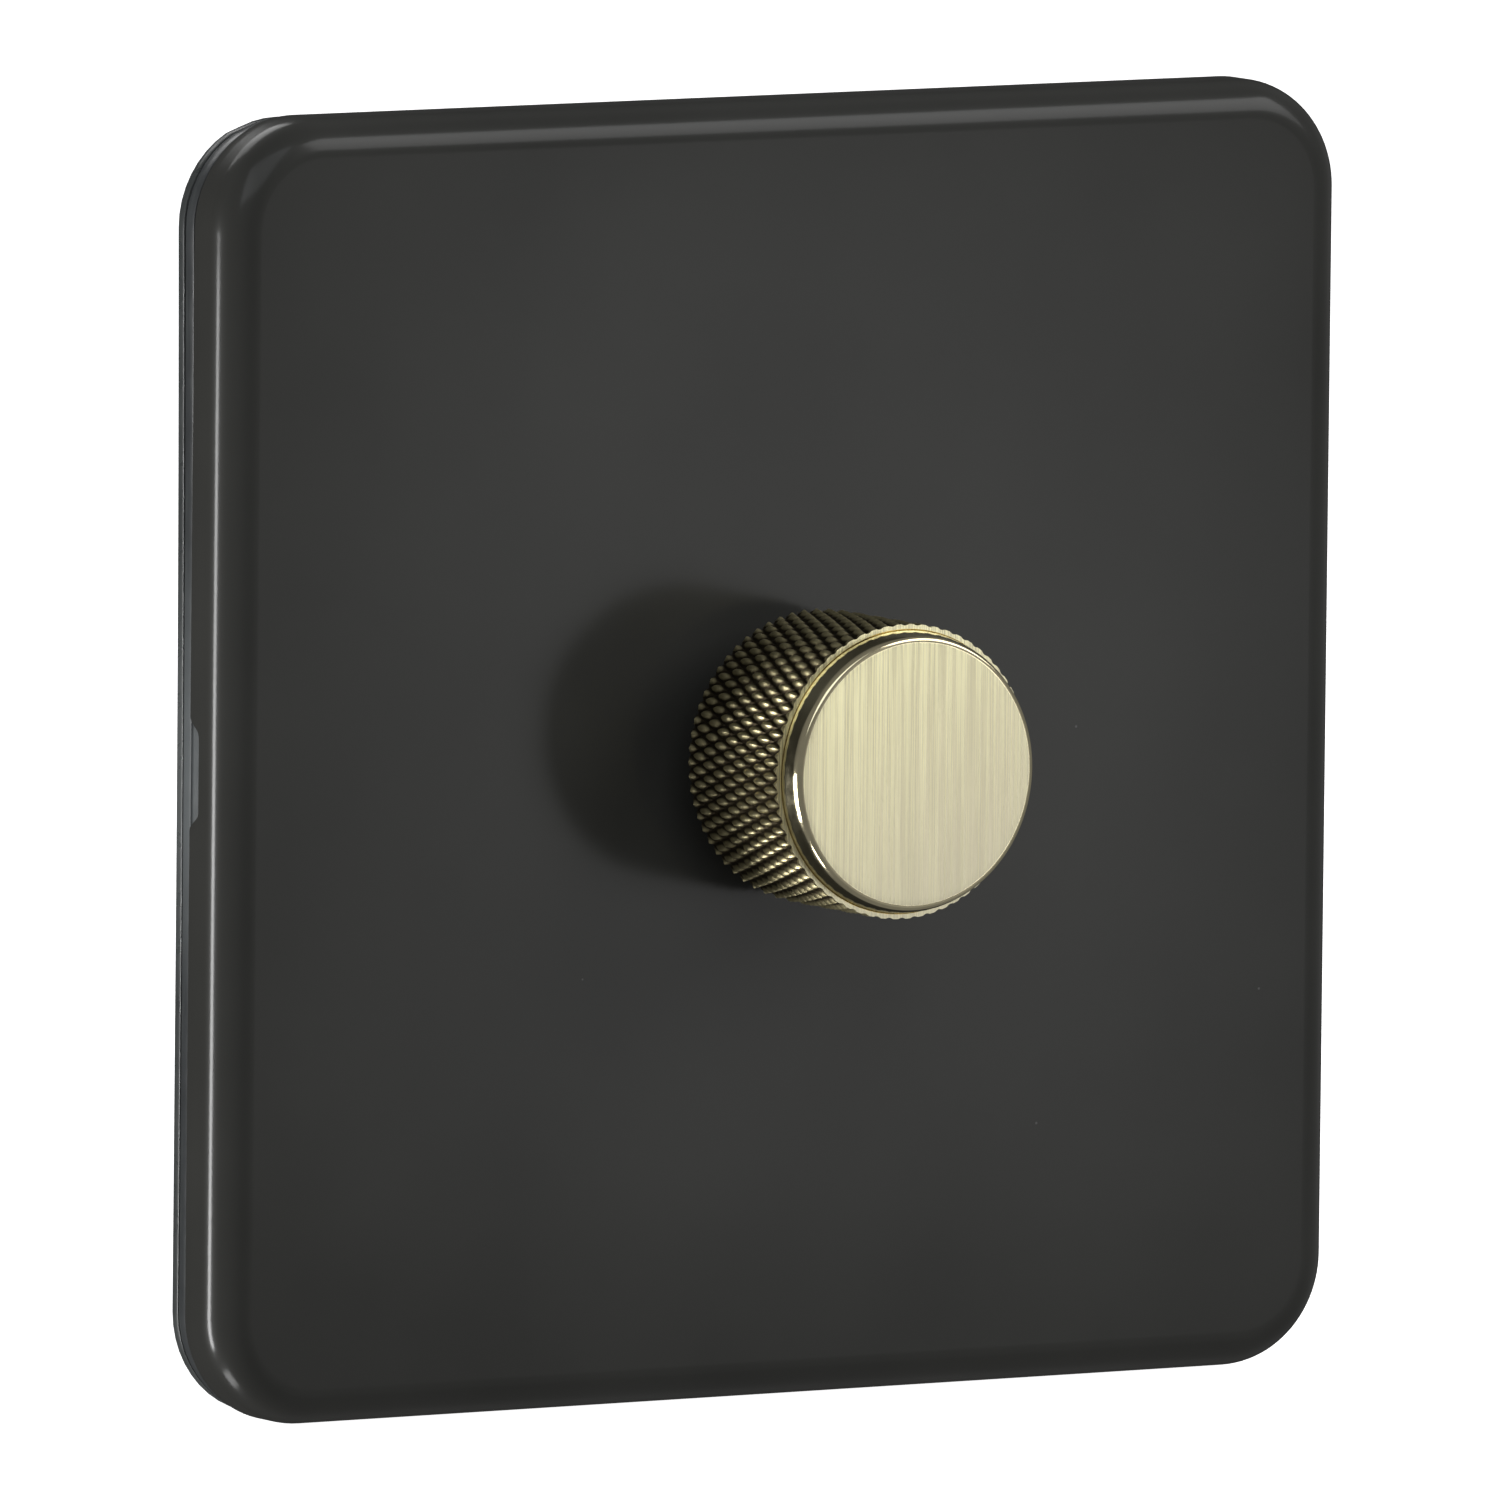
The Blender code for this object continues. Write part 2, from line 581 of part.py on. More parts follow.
def make_heatsink_plate():
    """The aluminium plate that closes the module, cools the transistors and carries the earth tab."""
    plate = block("heatsink_plate", (CASE_WIDTH, CASE_HEIGHT), HEATSINK_BACK, HEATSINK_TOP, ALUMINIUM,
                  corner=3, corner_steps=4)
    tab = block("earth_tab", (10, 9), HEATSINK_BACK, HEATSINK_TOP, at=(EARTH_X, EARTH_Y - 1))
    join(plate, tab)
    holes = [cylinder("heatsink_bush_hole", BUSH_RADIUS + 0.2, -3, 3)]
    for i, (sx, sy) in enumerate(((-1, -1), (1, -1), (-1, 1), (1, 1))):
        holes.append(cylinder(f"heatsink_screw_hole_{i}", 1.35, -3, 3,
                              at=(sx * CASE_SCREW_X, sy * CASE_SCREW_Y), segments=SMALL_ROUND))
    for sx in (-1, 1):
        holes.append(cylinder(f"heatsink_transistor_hole_{sx}", 1.35, -3, 3,
                              at=(sx * 17, 6.4), segments=SMALL_ROUND))
    holes.append(cylinder("heatsink_earth_hole", 1.35, -3, 3, at=(EARTH_X, EARTH_Y), segments=SMALL_ROUND))
    return cut(plate, *holes)


# ---------------------------------------------------------------- potentiometer


def make_pot_housing():
    """The pressed steel cup around the potentiometer, slotted for the track's tongue."""
    inside, bore = POT_RADIUS - POT_WALL, 5.6
    front_back = POT_FRONT - 0.7
    profile = [(bore, POT_FRONT), (POT_RADIUS, POT_FRONT), (POT_RADIUS, POT_BACK), (inside, POT_BACK),
               (inside, front_back), (bore, front_back)]
    housing = turned("pot_housing", profile, ZINC_STEEL)
    return cut(housing, block("track_slot", (10, 6), TRACK_BACK - 4, TRACK_TOP + 0.1,
                              at=(0, -10)))


def make_pot_track():
    """The resistive track on its phenolic disc, with a tongue for the three lugs."""
    outer = POT_RADIUS - POT_WALL - GAP
    half = 4.6
    edge = math.degrees(math.acos(half / outer))
    outline = arc(outer, -edge, 180 + edge, 28) + [(-half, -13), (half, -13)]
    track = extruded("pot_track", [outline, circle(TRACK_BORE)], TRACK_BACK, TRACK_TOP, PHENOLIC)
    holes = [cylinder(f"lug_hole_{i}", 0.75, TRACK_BACK - 1, TRACK_TOP + 1, at=(i * LUG_PITCH, LUG_ROW),
                      segments=SMALL_ROUND) for i in (-1, 0, 1)]
    return cut(track, *holes)


def make_pot_lugs():
    """Three flat lugs from the track's tongue down through the board."""
    for i in (-1, 0, 1):
        outer, inner, toe = LUG_ROW - 0.3, LUG_ROW + 0.3, LUG_ROW - 1.5
        foot_top, foot_back = TRACK_BACK - 0.2, TRACK_BACK - 0.7
        top, end = TRACK_TOP + 0.4, BOARD_BACK - 1.2
        outline = [(toe, foot_top), (toe, foot_back), (outer, foot_back), (outer, end),
                   (inner, end), (inner, top), (outer, top), (outer, foot_top)]
        across = i * LUG_PITCH
        standing(extruded(f"pot_lug_{i + 2}", [outline], across - 0.5, across + 0.5, ZINC_STEEL))


def make_pot_rotor():
    """The nylon rotor that the spindle turns and slides through."""
    radius = POT_RADIUS - POT_WALL - 0.4
    bore = d_shape(SPINDLE_RADIUS + RUNNING_CLEARANCE, SPINDLE_FLAT + RUNNING_CLEARANCE)
    extruded("pot_rotor", [circle(radius), bore], ROTOR_BACK, ROTOR_TOP, WHITE_NYLON)


def make_pot_wiper():
    """The sprung metal wiper on the rotor, with two contact buttons that face the track."""
    wiper = extruded("pot_wiper", [circle(7.6), circle(5.4)], ROTOR_TOP + 0.1, ROTOR_TOP + 0.5,
                     BRASS)
    for side in (-1, 1):
        join(wiper, cylinder(f"wiper_button_{side}", 0.5, ROTOR_TOP + 0.3, TRACK_BACK - 0.1,
                             at=(side * 6.8, 0), segments=10))
    return wiper


# ---------------------------------------------------------------- push switch


def make_switch_shell():
    """The two-part body of the push switch: a flat cover and a round cup."""
    rings = [circle(POT_RADIUS), circle(3.5)]
    extruded("switch_cover", rings, SWITCH_COVER_BACK, SWITCH_TOP, BLACK_PLASTIC)
    inside = POT_RADIUS - SWITCH_WALL
    top = SWITCH_COVER_BACK - GAP
    profile = [(inside, top), (POT_RADIUS, top), (POT_RADIUS, SWITCH_BACK), (0, SWITCH_BACK)]
    cup = turned("switch_housing", [(0, SWITCH_FLOOR), (inside, SWITCH_FLOOR)] + profile, BLACK_PLASTIC)
    for side in (-1, 1):
        cut(cup, cylinder(f"contact_hole_{side}", 0.95, SWITCH_BACK - 1, SWITCH_FLOOR + 1,
                          at=(side * CONTACT_OFFSET, 0), segments=SMALL_ROUND))
    return cup


def make_switch_plunger():
    """The plunger that the spindle presses, with a skirt around the indexing cam."""
    disc, skirt, stem = 6.4, 5.2, 2.6
    disc_top, disc_back = -10.9, -12.2
    profile = [(0, PLUNGER_TOP), (stem, PLUNGER_TOP), (stem, disc_top), (disc, disc_top),
               (disc, PLUNGER_SKIRT_END), (skirt, PLUNGER_SKIRT_END), (skirt, disc_back), (0, disc_back)]
    turned("switch_plunger", profile, WHITE_NYLON, PUSH_AXIS)


def make_index_cam():
    """The cam that turns an eighth of a turn with each push, with ramp teeth on its crown."""
    teeth, tooth_height = 8, 0.6
    outer, bore = 4.8, 1.5
    top, bottom = -13.1, -14.8
    profile = [(bore, top), (outer, top), (outer, bottom), (bore, bottom)]
    cam = turned("index_cam", profile, GREY_PLASTIC, PUSH_AXIS, segments=ROUND)
    for i in range(teeth):
        angle = math.radians(360 * i / teeth)
        ramp = [(-0.9, top - 0.3), (0.9, top - 0.3), (0.9, top),
                (-0.7, top + tooth_height), (-0.9, top + tooth_height)]
        tooth = standing(extruded(f"cam_tooth_{i}", [ramp], 3.4, 4.6, parent=PUSH_AXIS))
        tooth.matrix_basis = Matrix.Rotation(angle, 4, "Z") @ tooth.matrix_basis
        join(cam, tooth)
    return cam


def make_switch_spring():
    """The return spring between the cam and the floor of the switch."""
    coil, wire, turns, per_turn = 3.4, 0.3, 4.5, 8
    top, bottom = -15.15 - wire, SWITCH_FLOOR + GAP + wire
    count = int(turns * per_turn)
    points = []
    for i in range(count + 1):
        share = i / count
        angle = 2 * math.pi * turns * share
        points.append((coil * math.cos(angle), coil * math.sin(angle), top + (bottom - top) * share))
    tube("switch_spring", points, wire, SPRING_STEEL, resolution=1)


def make_contacts():
    """The moving carrier with its bridge, and the two fixed posts that the bridge closes onto."""
    extruded("contact_carrier", [circle(7.5), circle(5.3)], -17.4, -15.9, GREY_PLASTIC)
    bridge = extruded("contact_bridge", [circle(7.4), circle(5.3)], -18.1, -17.6, COPPER)
    pad_top = SWITCH_FLOOR + 0.25
    for side, where in ((-1, "left"), (1, "right")):
        at = (side * CONTACT_OFFSET, 0)
        join(bridge, cylinder(f"bridge_rivet_{where}", 0.8, -18.5, -17.9, at=at, segments=SMALL_ROUND))
        post = [(0, pad_top), (1.1, pad_top), (1.1, SWITCH_FLOOR + 0.05),
                (0.8, SWITCH_FLOOR + 0.05), (0.8, SWITCH_BACK - 1.4), (0, SWITCH_BACK - 1.4)]
        turned(f"fixed_contact_{where}", post, BRASS, at=at, segments=SMALL_ROUND)
    return bridge


# ---------------------------------------------------------------- circuit board and what it carries


def make_circuit_board():
    """The board around the switch, notched for the case's corner posts."""
    board = block("circuit_board", (44, 50), BOARD_BACK, BOARD_TOP, BOARD_GREEN)
    cutters = [cylinder("board_hole", POT_RADIUS + 0.6, BOARD_BACK - 1, BOARD_TOP + 1)]
    for i, (sx, sy) in enumerate(((-1, -1), (1, -1), (-1, 1), (1, 1))):
        cutters.append(block(f"board_notch_{i}", (9, 9), BOARD_BACK - 1, BOARD_TOP + 1,
                             at=(sx * 21, sy * 24)))
    for i in (-1, 0, 1):
        cutters.append(block(f"board_lug_hole_{i}", (1.5, 1.1), BOARD_BACK - 1, BOARD_TOP + 1,
                             at=(i * LUG_PITCH, LUG_ROW)))
    for side in (-1, 1):
        for lead in (-1, 0, 1):
            cutters.append(block(f"board_lead_hole_{side}_{lead}", (1.2, 1.0), BOARD_BACK - 1,
                                 BOARD_TOP + 1, at=(side * 17 + lead * 2.54, -8.5)))
    return cut(board, *cutters)


def make_transistors():
    """Two power transistors flat on the heatsink, each on a pad, with a screw through its tab."""
    pad_top = HEATSINK_BACK - 0.1
    pad_back = pad_top - 0.3
    tab_top = pad_back - 0.1
    tab_back = tab_top - 1.3
    body_back = tab_top - 4.4
    for side, where in ((-1, "left"), (1, "right")):
        x = side * 17
        hole_at = (x, 6.4)
        pad = block(f"thermal_pad_{where}", (10.6, 17.5), pad_back, pad_top, SILICONE, at=(x, 1.8))
        hole = cylinder(f"tab_hole_{where}", 1.6, body_back, pad_top + 1, at=hole_at, segments=SMALL_ROUND)
        cut(pad, hole)
        body = block(f"transistor_{where}", (10, 9.2), body_back, tab_top, BLACK_PLASTIC, at=(x, -1.6))
        join(body, block(f"transistor_tab_{where}", (9.8, 8), tab_back, tab_top - 0.05,
                         at=(x, 6.2)))
        for lead in (-1, 0, 1):
            across = x + lead * 2.54
            join(body, block(f"lead_out_{where}_{lead}", (0.8, 3.5), body_back + 1.4,
                             body_back + 2.0, at=(across, -7.1)))
            join(body, block(f"lead_down_{where}_{lead}", (0.8, 0.6), BOARD_BACK - 0.8,
                             body_back + 1.9, at=(across, -8.5)))
        cut(body, hole)
        rear_screw(f"transistor_screw_{where}", 2.6, 1.6, 1.25, tab_back - 0.1, 0.3,
                   hole_at, ZINC_STEEL)


def make_choke():
    """The interference choke: a ferrite ring with copper wire wound round it."""
    centre, major, minor = (-11.5, 15.5), 4.6, 1.9
    height = PARTS_TOP - 3.3
    core = [(major + minor, height + minor), (major + minor, height - minor),
            (major - minor, height - minor), (major - minor, height + minor)]
    turned("choke_core", core, FERRITE, at=centre)
    wire, turns, per_turn, loop = 0.32, 12, 6, 3.4
    sweep = math.radians(320)
    count = turns * per_turn
    points = []
    for i in range(count + 1):
        around = sweep * i / count
        swing = 2 * math.pi * i / per_turn
        # A rounded square path keeps the wire clear of the core's corners.
        reach = loop / max(abs(math.cos(swing)), abs(math.sin(swing))) ** 0.6 * 0.98
        radius = major + reach * math.cos(swing) * 0.92
        points.append((centre[0] + radius * math.cos(around), centre[1] + radius * math.sin(around),
                       height + reach * math.sin(swing) * 0.92))
    tube("choke_winding", points, wire, COPPER, resolution=0)


def make_board_parts():
    """The larger components on the back of the board."""
    block("film_capacitor", (15, 7), -22.4, PARTS_TOP, FILM_YELLOW, at=(8.5, 20),
          corner=0.8, corner_steps=2)
    can_radius, can_back = 4.0, -22.8
    can = [(0, PARTS_TOP), (can_radius, PARTS_TOP), (can_radius, PARTS_TOP - 1.4),
           (can_radius - 0.3, PARTS_TOP - 1.8), (can_radius, PARTS_TOP - 2.2),
           (can_radius, can_back + 0.4), (can_radius - 0.4, can_back), (0, can_back)]
    turned("electrolytic_capacitor", can, BLACK_PLASTIC, at=(16.6, 8.6), segments=SMALL_ROUND)
    block("controller_chip", (6.4, 9.4), PARTS_TOP - 3.2, PARTS_TOP, BLACK_PLASTIC,
          at=(16.6, -2.6), corner=0.4, corner_steps=1)
    radius, start, end, cap_length = 2.4, -6.5, 5.0, 2.8
    place = ("Y", -16.6, PARTS_TOP - radius - 0.2)
    fuse = lying_cylinder("fuse", radius, start, end, *place, CERAMIC)
    for i, cap_start in enumerate((start - 0.3, end + 0.3 - cap_length)):
        join(fuse, lying_cylinder(f"fuse_cap_{i}", radius + 0.2, cap_start, cap_start + cap_length, *place))


# ---------------------------------------------------------------- terminals


def terminal_places():
    middle = (TERMINAL_COUNT - 1) / 2
    return [(i + 1, ((i - middle) * TERMINAL_PITCH, TERMINAL_Y)) for i in range(TERMINAL_COUNT)]


def make_terminal_block():
    """The moulding that holds the terminal cages, with a well for each and wire ways to the bottom."""
    width = TERMINAL_COUNT * TERMINAL_PITCH + 0.6
    back = CASE_FLOOR + GAP
    body = block("terminal_block", (width, 9.0), back, PARTS_TOP, GREY_PLASTIC, at=(0, TERMINAL_Y))
    well_size = (CAGE_WIDTH + 0.5, CAGE_LENGTH + 0.5)
    for i, at in terminal_places():
        well = block(f"cage_well_{i}", well_size, CAGE_BACK - GAP, PARTS_TOP + 1, at=at)
        way = block(f"wire_way_{i}", (WIRE_OPENING + 0.4, 20), WIRE_LOW - 0.2, WIRE_HIGH + 0.2,
                    at=(at[0], at[1] - 8))
        shaft = cylinder(f"screw_shaft_{i}", 3.1, back - 1, CAGE_BACK, at=at, segments=16)
        cut(body, well, way, shaft)
    return body


def make_terminal_cages():
    """Box clamps: the wire lies in the square opening and the screw closes on it from behind."""
    for i, at in terminal_places():
        cage = block(f"terminal_cage_{i}", (CAGE_WIDTH, CAGE_LENGTH), CAGE_BACK, CAGE_TOP, BRASS, at=at)
        opening = block(f"cage_opening_{i}", (WIRE_OPENING, CAGE_LENGTH * 2), WIRE_LOW, WIRE_HIGH, at=at)
        thread = cylinder(f"cage_thread_{i}", 1.9, CAGE_BACK - 1, WIRE_CENTRE, at=at, segments=SMALL_ROUND)
        cut(cage, opening, thread)
        rear_screw(f"terminal_screw_{i}", 2.8, 2.0, 1.75, CAGE_BACK - 0.6, WIRE_LOW - 0.1, at, ZINC_STEEL)


def make_earth_clamp():
    """The earth clamp on the heatsink's tab, with its wire way across and its screw from behind."""
    at = (EARTH_X, EARTH_Y)
    top = HEATSINK_BACK - 0.1
    height, wire_height = 8, top - 3.4
    earth = block("earth_block", (7, 6.4), top - height, top, BRASS, at=at)
    way = lying_cylinder("earth_wire_way", 1.6, 0, 2 * EARTH_X, "X", EARTH_Y, wire_height)
    thread = cylinder("earth_thread", 1.85, top - height - 1, wire_height, at=at, segments=SMALL_ROUND)
    cut(earth, way, thread)
    rear_screw("earth_screw", 2.8, 1.8, 1.7, top - height - 0.4, wire_height - 1.8, at,
               ZINC_STEEL)


def make_earth_spring():
    """The sprung strip that rises from the heatsink through the frame and bonds the metal cover."""
    foot, tip, strip = HEATSINK_TOP + 0.1, PLATE_INSIDE - GAP, 0.3
    low, high = EARTH_SPRING_Y - 1.2, EARTH_SPRING_Y + 1.2
    reach, knee = low - 3.6, tip - 1.3
    outline = [(low, foot), (high, foot), (high, knee), (low, tip), (reach, tip), (reach, tip - strip),
               (low - 0.1, tip - strip), (high - strip, knee - 0.1), (high - strip, foot + strip),
               (low, foot + strip)]
    half = EARTH_SPRING_WIDTH / 2
    standing(extruded("earth_spring", [outline], EARTH_X - half, EARTH_X + half, SPRING_STEEL))


# ---------------------------------------------------------------- module case


def make_module_case():
    """The moulded case, with wire ways at the bottom, screwdriver holes and corner screws behind."""
    case = block("module_case", (CASE_WIDTH, CASE_HEIGHT), CASE_BACK, CASE_TOP, BLACK_PLASTIC,
                 corner=3, corner_steps=4)
    cavity_size = (CASE_WIDTH - 2 * CASE_WALL, CASE_HEIGHT - 2 * CASE_WALL)
    cut(case, block("case_cavity", cavity_size, CASE_FLOOR, CASE_TOP + 1, corner=1.5, corner_steps=3))
    corners = [(sx * CASE_SCREW_X, sy * CASE_SCREW_Y) for sx in (-1, 1) for sy in (-1, 1)]
    for i, at in enumerate(corners):
        place = {"at": at, "segments": SMALL_ROUND}
        join(case, cylinder(f"case_post_{i}", 3.3, CASE_FLOOR - 0.5, CASE_TOP - 0.4, **place))
    for i, at in enumerate(corners):
        place = {"at": at, "segments": SMALL_ROUND}
        cut(case, cylinder(f"case_post_bore_{i}", 1.6, CASE_BACK - 1, CASE_TOP + 1, **place),
            cylinder(f"case_head_recess_{i}", 2.7, CASE_BACK - 1, CASE_BACK + 2.6, **place))
        rear_screw(f"case_screw_{i + 1}", 2.4, 1.8, 1.25, CASE_BACK + 2.3, 0.3, at, ZINC_STEEL)
    for i, at in terminal_places():
        cut(case, cylinder(f"driver_hole_{i}", 3.2, CASE_BACK - 1, CASE_FLOOR + 1, at=at, segments=16),
            block(f"case_wire_way_{i}", (WIRE_OPENING + 0.6, 4), WIRE_LOW - 0.3, WIRE_HIGH + 0.3,
                  at=(at[0], -CASE_HEIGHT / 2)))
    for i in range(7):
        cut(case, block(f"vent_{i}", (1.6, 4), -17, -6,
                        at=((i - 3) * 4, CASE_HEIGHT / 2)))
    return case


make_front_plate()
make_mounting_frame()
make_wall_gasket()
make_fixing_screws()
make_knob_shell()
make_knob_insert()
make_knob_spring_clip()
make_spindle()
make_spindle_circlip()
make_threaded_bush()
make_bush_nut()
make_lock_washer()
make_heatsink_plate()
make_pot_housing()
make_pot_track()
make_pot_lugs()
make_pot_rotor()
make_pot_wiper()
make_switch_shell()
make_switch_plunger()
make_index_cam()
make_switch_spring()
make_contacts()
make_circuit_board()
make_transistors()
make_choke()
make_board_parts()
make_terminal_block()
make_terminal_cages()
make_earth_clamp()
make_earth_spring()
make_module_case()
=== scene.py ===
"""Looks of a screwless rotary dimmer switch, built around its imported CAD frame.

Shapes are made in wall millimetres: x is to the right, y up the wall and z out of the wall towards the
room. WALL turns them into the frame's metres. Sizes and places come from the frame's own nodes.
"""

import json
import math

import bmesh
import bpy
from mathutils import Matrix, Vector


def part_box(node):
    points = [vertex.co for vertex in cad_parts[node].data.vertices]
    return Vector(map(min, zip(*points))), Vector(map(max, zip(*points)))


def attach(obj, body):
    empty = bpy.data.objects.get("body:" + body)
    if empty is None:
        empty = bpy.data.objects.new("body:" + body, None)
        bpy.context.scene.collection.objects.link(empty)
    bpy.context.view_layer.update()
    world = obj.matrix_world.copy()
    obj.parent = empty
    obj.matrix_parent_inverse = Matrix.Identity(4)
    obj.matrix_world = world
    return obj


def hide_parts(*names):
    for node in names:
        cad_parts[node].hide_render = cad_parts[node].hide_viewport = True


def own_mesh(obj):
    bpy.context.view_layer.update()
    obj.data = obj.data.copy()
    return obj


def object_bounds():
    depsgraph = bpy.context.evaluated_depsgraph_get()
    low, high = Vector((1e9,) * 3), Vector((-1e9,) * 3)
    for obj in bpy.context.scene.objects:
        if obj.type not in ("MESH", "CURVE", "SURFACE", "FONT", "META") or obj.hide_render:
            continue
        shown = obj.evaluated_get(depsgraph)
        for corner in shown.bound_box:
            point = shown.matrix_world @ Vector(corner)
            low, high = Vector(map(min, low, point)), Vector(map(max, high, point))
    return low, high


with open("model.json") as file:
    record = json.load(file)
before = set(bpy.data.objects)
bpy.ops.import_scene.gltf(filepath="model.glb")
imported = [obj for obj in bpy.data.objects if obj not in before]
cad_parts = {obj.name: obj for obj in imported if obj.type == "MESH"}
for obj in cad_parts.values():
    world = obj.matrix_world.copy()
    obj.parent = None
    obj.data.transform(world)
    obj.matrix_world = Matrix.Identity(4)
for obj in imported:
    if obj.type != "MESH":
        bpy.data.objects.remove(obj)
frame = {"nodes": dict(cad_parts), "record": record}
cad_low, cad_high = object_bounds()

MM = 0.001
WALL = Matrix.Rotation(math.radians(90), 4, "X") @ Matrix.Scale(MM, 4)
TINY = 1e-6
TURN = 2 * math.pi
CORNERS = ((1, 1), (-1, 1), (-1, -1), (1, -1))


def wall_box(node):
    """The lowest and highest corners of a CAD node, in wall millimetres."""
    low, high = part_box(node)
    return Vector((low.x, low.z, -high.y)) / MM, Vector((high.x, high.z, -low.y)) / MM


def centre_of(node):
    """The middle of a CAD node, across and up the wall."""
    low, high = wall_box(node)
    return (low.x + high.x) / 2, (low.y + high.y) / 2


def spaced(start, end, count):
    """Values at even steps from start to end."""
    return [start + (end - start) * i / count for i in range(count + 1)]


def zigzag(phase):
    """A wave that rises from 0 to 1 and falls back in each whole step of the phase."""
    return 1 - abs(2 * (phase - math.floor(phase)) - 1)


# ---- outlines and profiles


def arc(radius, start, end, steps, at=(0, 0)):
    """Points along an arc, from start to end in degrees."""
    angles = [math.radians(degrees) for degrees in spaced(start, end, steps)]
    return [(at[0] + radius * math.cos(a), at[1] + radius * math.sin(a)) for a in angles]


def rounded_rectangle(half_x, half_y, corner, at=(0, 0), steps=12):
    points = []
    for i, (sx, sy) in enumerate(CORNERS):
        middle = (at[0] + sx * (half_x - corner), at[1] + sy * (half_y - corner))
        points += arc(corner, 90 * i, 90 * (i + 1), steps, middle)
    return points


def upright_slot(width, length, at=(0, 0), steps=16):
    reach = (length - width) / 2
    top = arc(width / 2, 0, 180, steps, (at[0], at[1] + reach))
    return top + arc(width / 2, 180, 360, steps, (at[0], at[1] - reach))


def softened(points, radius, steps=3, closed=False):
    """Rounds the corners of a line of points."""
    count = len(points)
    made = []
    for i, here in enumerate(points):
        if not closed and i in (0, count - 1):
            made.append(tuple(here))
            continue
        corner = Vector(here)
        before, after = Vector(points[i - 1]) - corner, Vector(points[(i + 1) % count]) - corner
        reach = min(radius, before.length * 0.45, after.length * 0.45)
        start, end = corner + before.normalized() * reach, corner + after.normalized() * reach
        for k in range(steps + 1):
            t = k / steps
            point = start * (1 - t) ** 2 + corner * 2 * t * (1 - t) + end * t ** 2
            made.append(tuple(point))
    return made


# ---- mesh helpers


def add_rings(bm, rings, material=0, wrap=False, split=None):
    """Skins rings of points. A ring of one point is a pole. Split says which way to cut a cell in two."""
    grown = [[bm.verts.new(point) for point in ring] for ring in rings]
    count = max(len(ring) for ring in grown)
    for k in range(len(grown) if wrap else len(grown) - 1):
        low, high = grown[k], grown[(k + 1) % len(grown)]
        index = material(k) if callable(material) else material
        for i in range(count):
            j = (i + 1) % count
            if len(low) == 1:
                cells = [(low[0], high[j], high[i])]
            elif len(high) == 1:
                cells = [(low[i], low[j], high[0])]
            elif split is None:
                cells = [(low[i], low[j], high[j], high[i])]
            elif split(k, i):
                cells = [(low[i], low[j], high[j]), (low[i], high[j], high[i])]
            else:
                cells = [(low[i], low[j], high[i]), (low[j], high[j], high[i])]
            for cell in cells:
                bm.faces.new(cell).material_index = index
    return grown


def capped(rings):
    """A skin of rings with its first and last ring filled."""
    bm = bmesh.new()
    grown = add_rings(bm, rings)
    for ring in (grown[0], grown[-1]):
        bm.faces.new(ring)
    return bm


def turned_rings(profile, at=(0, 0), segments=96, relief=None):
    """Rings of a (radius, height) profile turned about an axis out of the wall, less the relief's depth."""
    rings = []
    for radius, height in profile:
        if radius < TINY:
            rings.append([(at[0], at[1], height)])
            continue
        ring = []
        for i in range(segments):
            angle = TURN * i / segments
            reach = radius - (relief(radius, height, angle) if relief else 0)
            ring.append((at[0] + reach * math.cos(angle), at[1] + reach * math.sin(angle), height))
        rings.append(ring)
    return rings


def mesh_of(name, bm):
    mesh = bpy.data.meshes.new(name)
    bm.to_mesh(mesh)
    bm.free()
    return mesh


def placed(name, data):
    """An object for a mesh, light or camera, put in the scene."""
    obj = bpy.data.objects.new(name, data)
    bpy.context.scene.collection.objects.link(obj)
    return obj


def make_piece(name, bm, materials, body, nodes, sharp=35):
    """Turns a shape in wall millimetres into a piece that rides on a body in place of CAD nodes."""
    bm.transform(WALL)
    bmesh.ops.recalc_face_normals(bm, faces=bm.faces)
    mesh = mesh_of(name, bm)
    mesh.shade_smooth()
    mesh.set_sharp_from_angle(angle=math.radians(sharp))
    for material in materials:
        mesh.materials.append(material)
    obj = placed(name, mesh)
    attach(obj, body)
    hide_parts(*nodes)
    return obj


# ---- solid shapes


def turned(profile, at=(0, 0), segments=48, relief=None):
    """A turned shape. A profile that doesn't start on the axis closes up its bore."""
    bm = bmesh.new()
    add_rings(bm, turned_rings(profile, at, segments, relief), wrap=profile[0][0] > TINY)
    return bm


def rod(radius, low, high, at=(0, 0), segments=48):
    """A round bar out of the wall."""
    return turned([(0, low), (radius, low), (radius, high), (0, high)], at, segments)


def flared(wide, narrow, start, neck, end, at):
    """A round cutter that narrows from its start to its neck, and runs straight on to its end."""
    return turned([(0, start), (wide, start), (narrow, neck), (narrow, end), (0, end)], at)


def prism(outline, low, high):
    """A flat outline between two heights."""
    return capped([[(x, y, height) for x, y in outline] for height in (low, high)])


def block(size, low, high, at=(0, 0), corner=0.0):
    """A block between two heights, with round upright corners."""
    half_x, half_y = size[0] / 2, size[1] / 2
    if corner:
        return prism(rounded_rectangle(half_x, half_y, corner, at, 8), low, high)
    return prism([(at[0] + sx * half_x, at[1] + sy * half_y) for sx, sy in CORNERS], low, high)


def standing(bm):
    """Stands a shape made as (up, height, across) on edge, as (across, up, height)."""
    bm.transform(Matrix(((0, 0, 1, 0), (1, 0, 0, 0), (0, 1, 0, 0), (0, 0, 0, 1))))
    return bm


def loose_object(bm):
    """Puts a shape in the scene for a moment, so that a modifier can use it."""
    bmesh.ops.recalc_face_normals(bm, faces=bm.faces)
    return placed("loose", mesh_of("loose", bm))


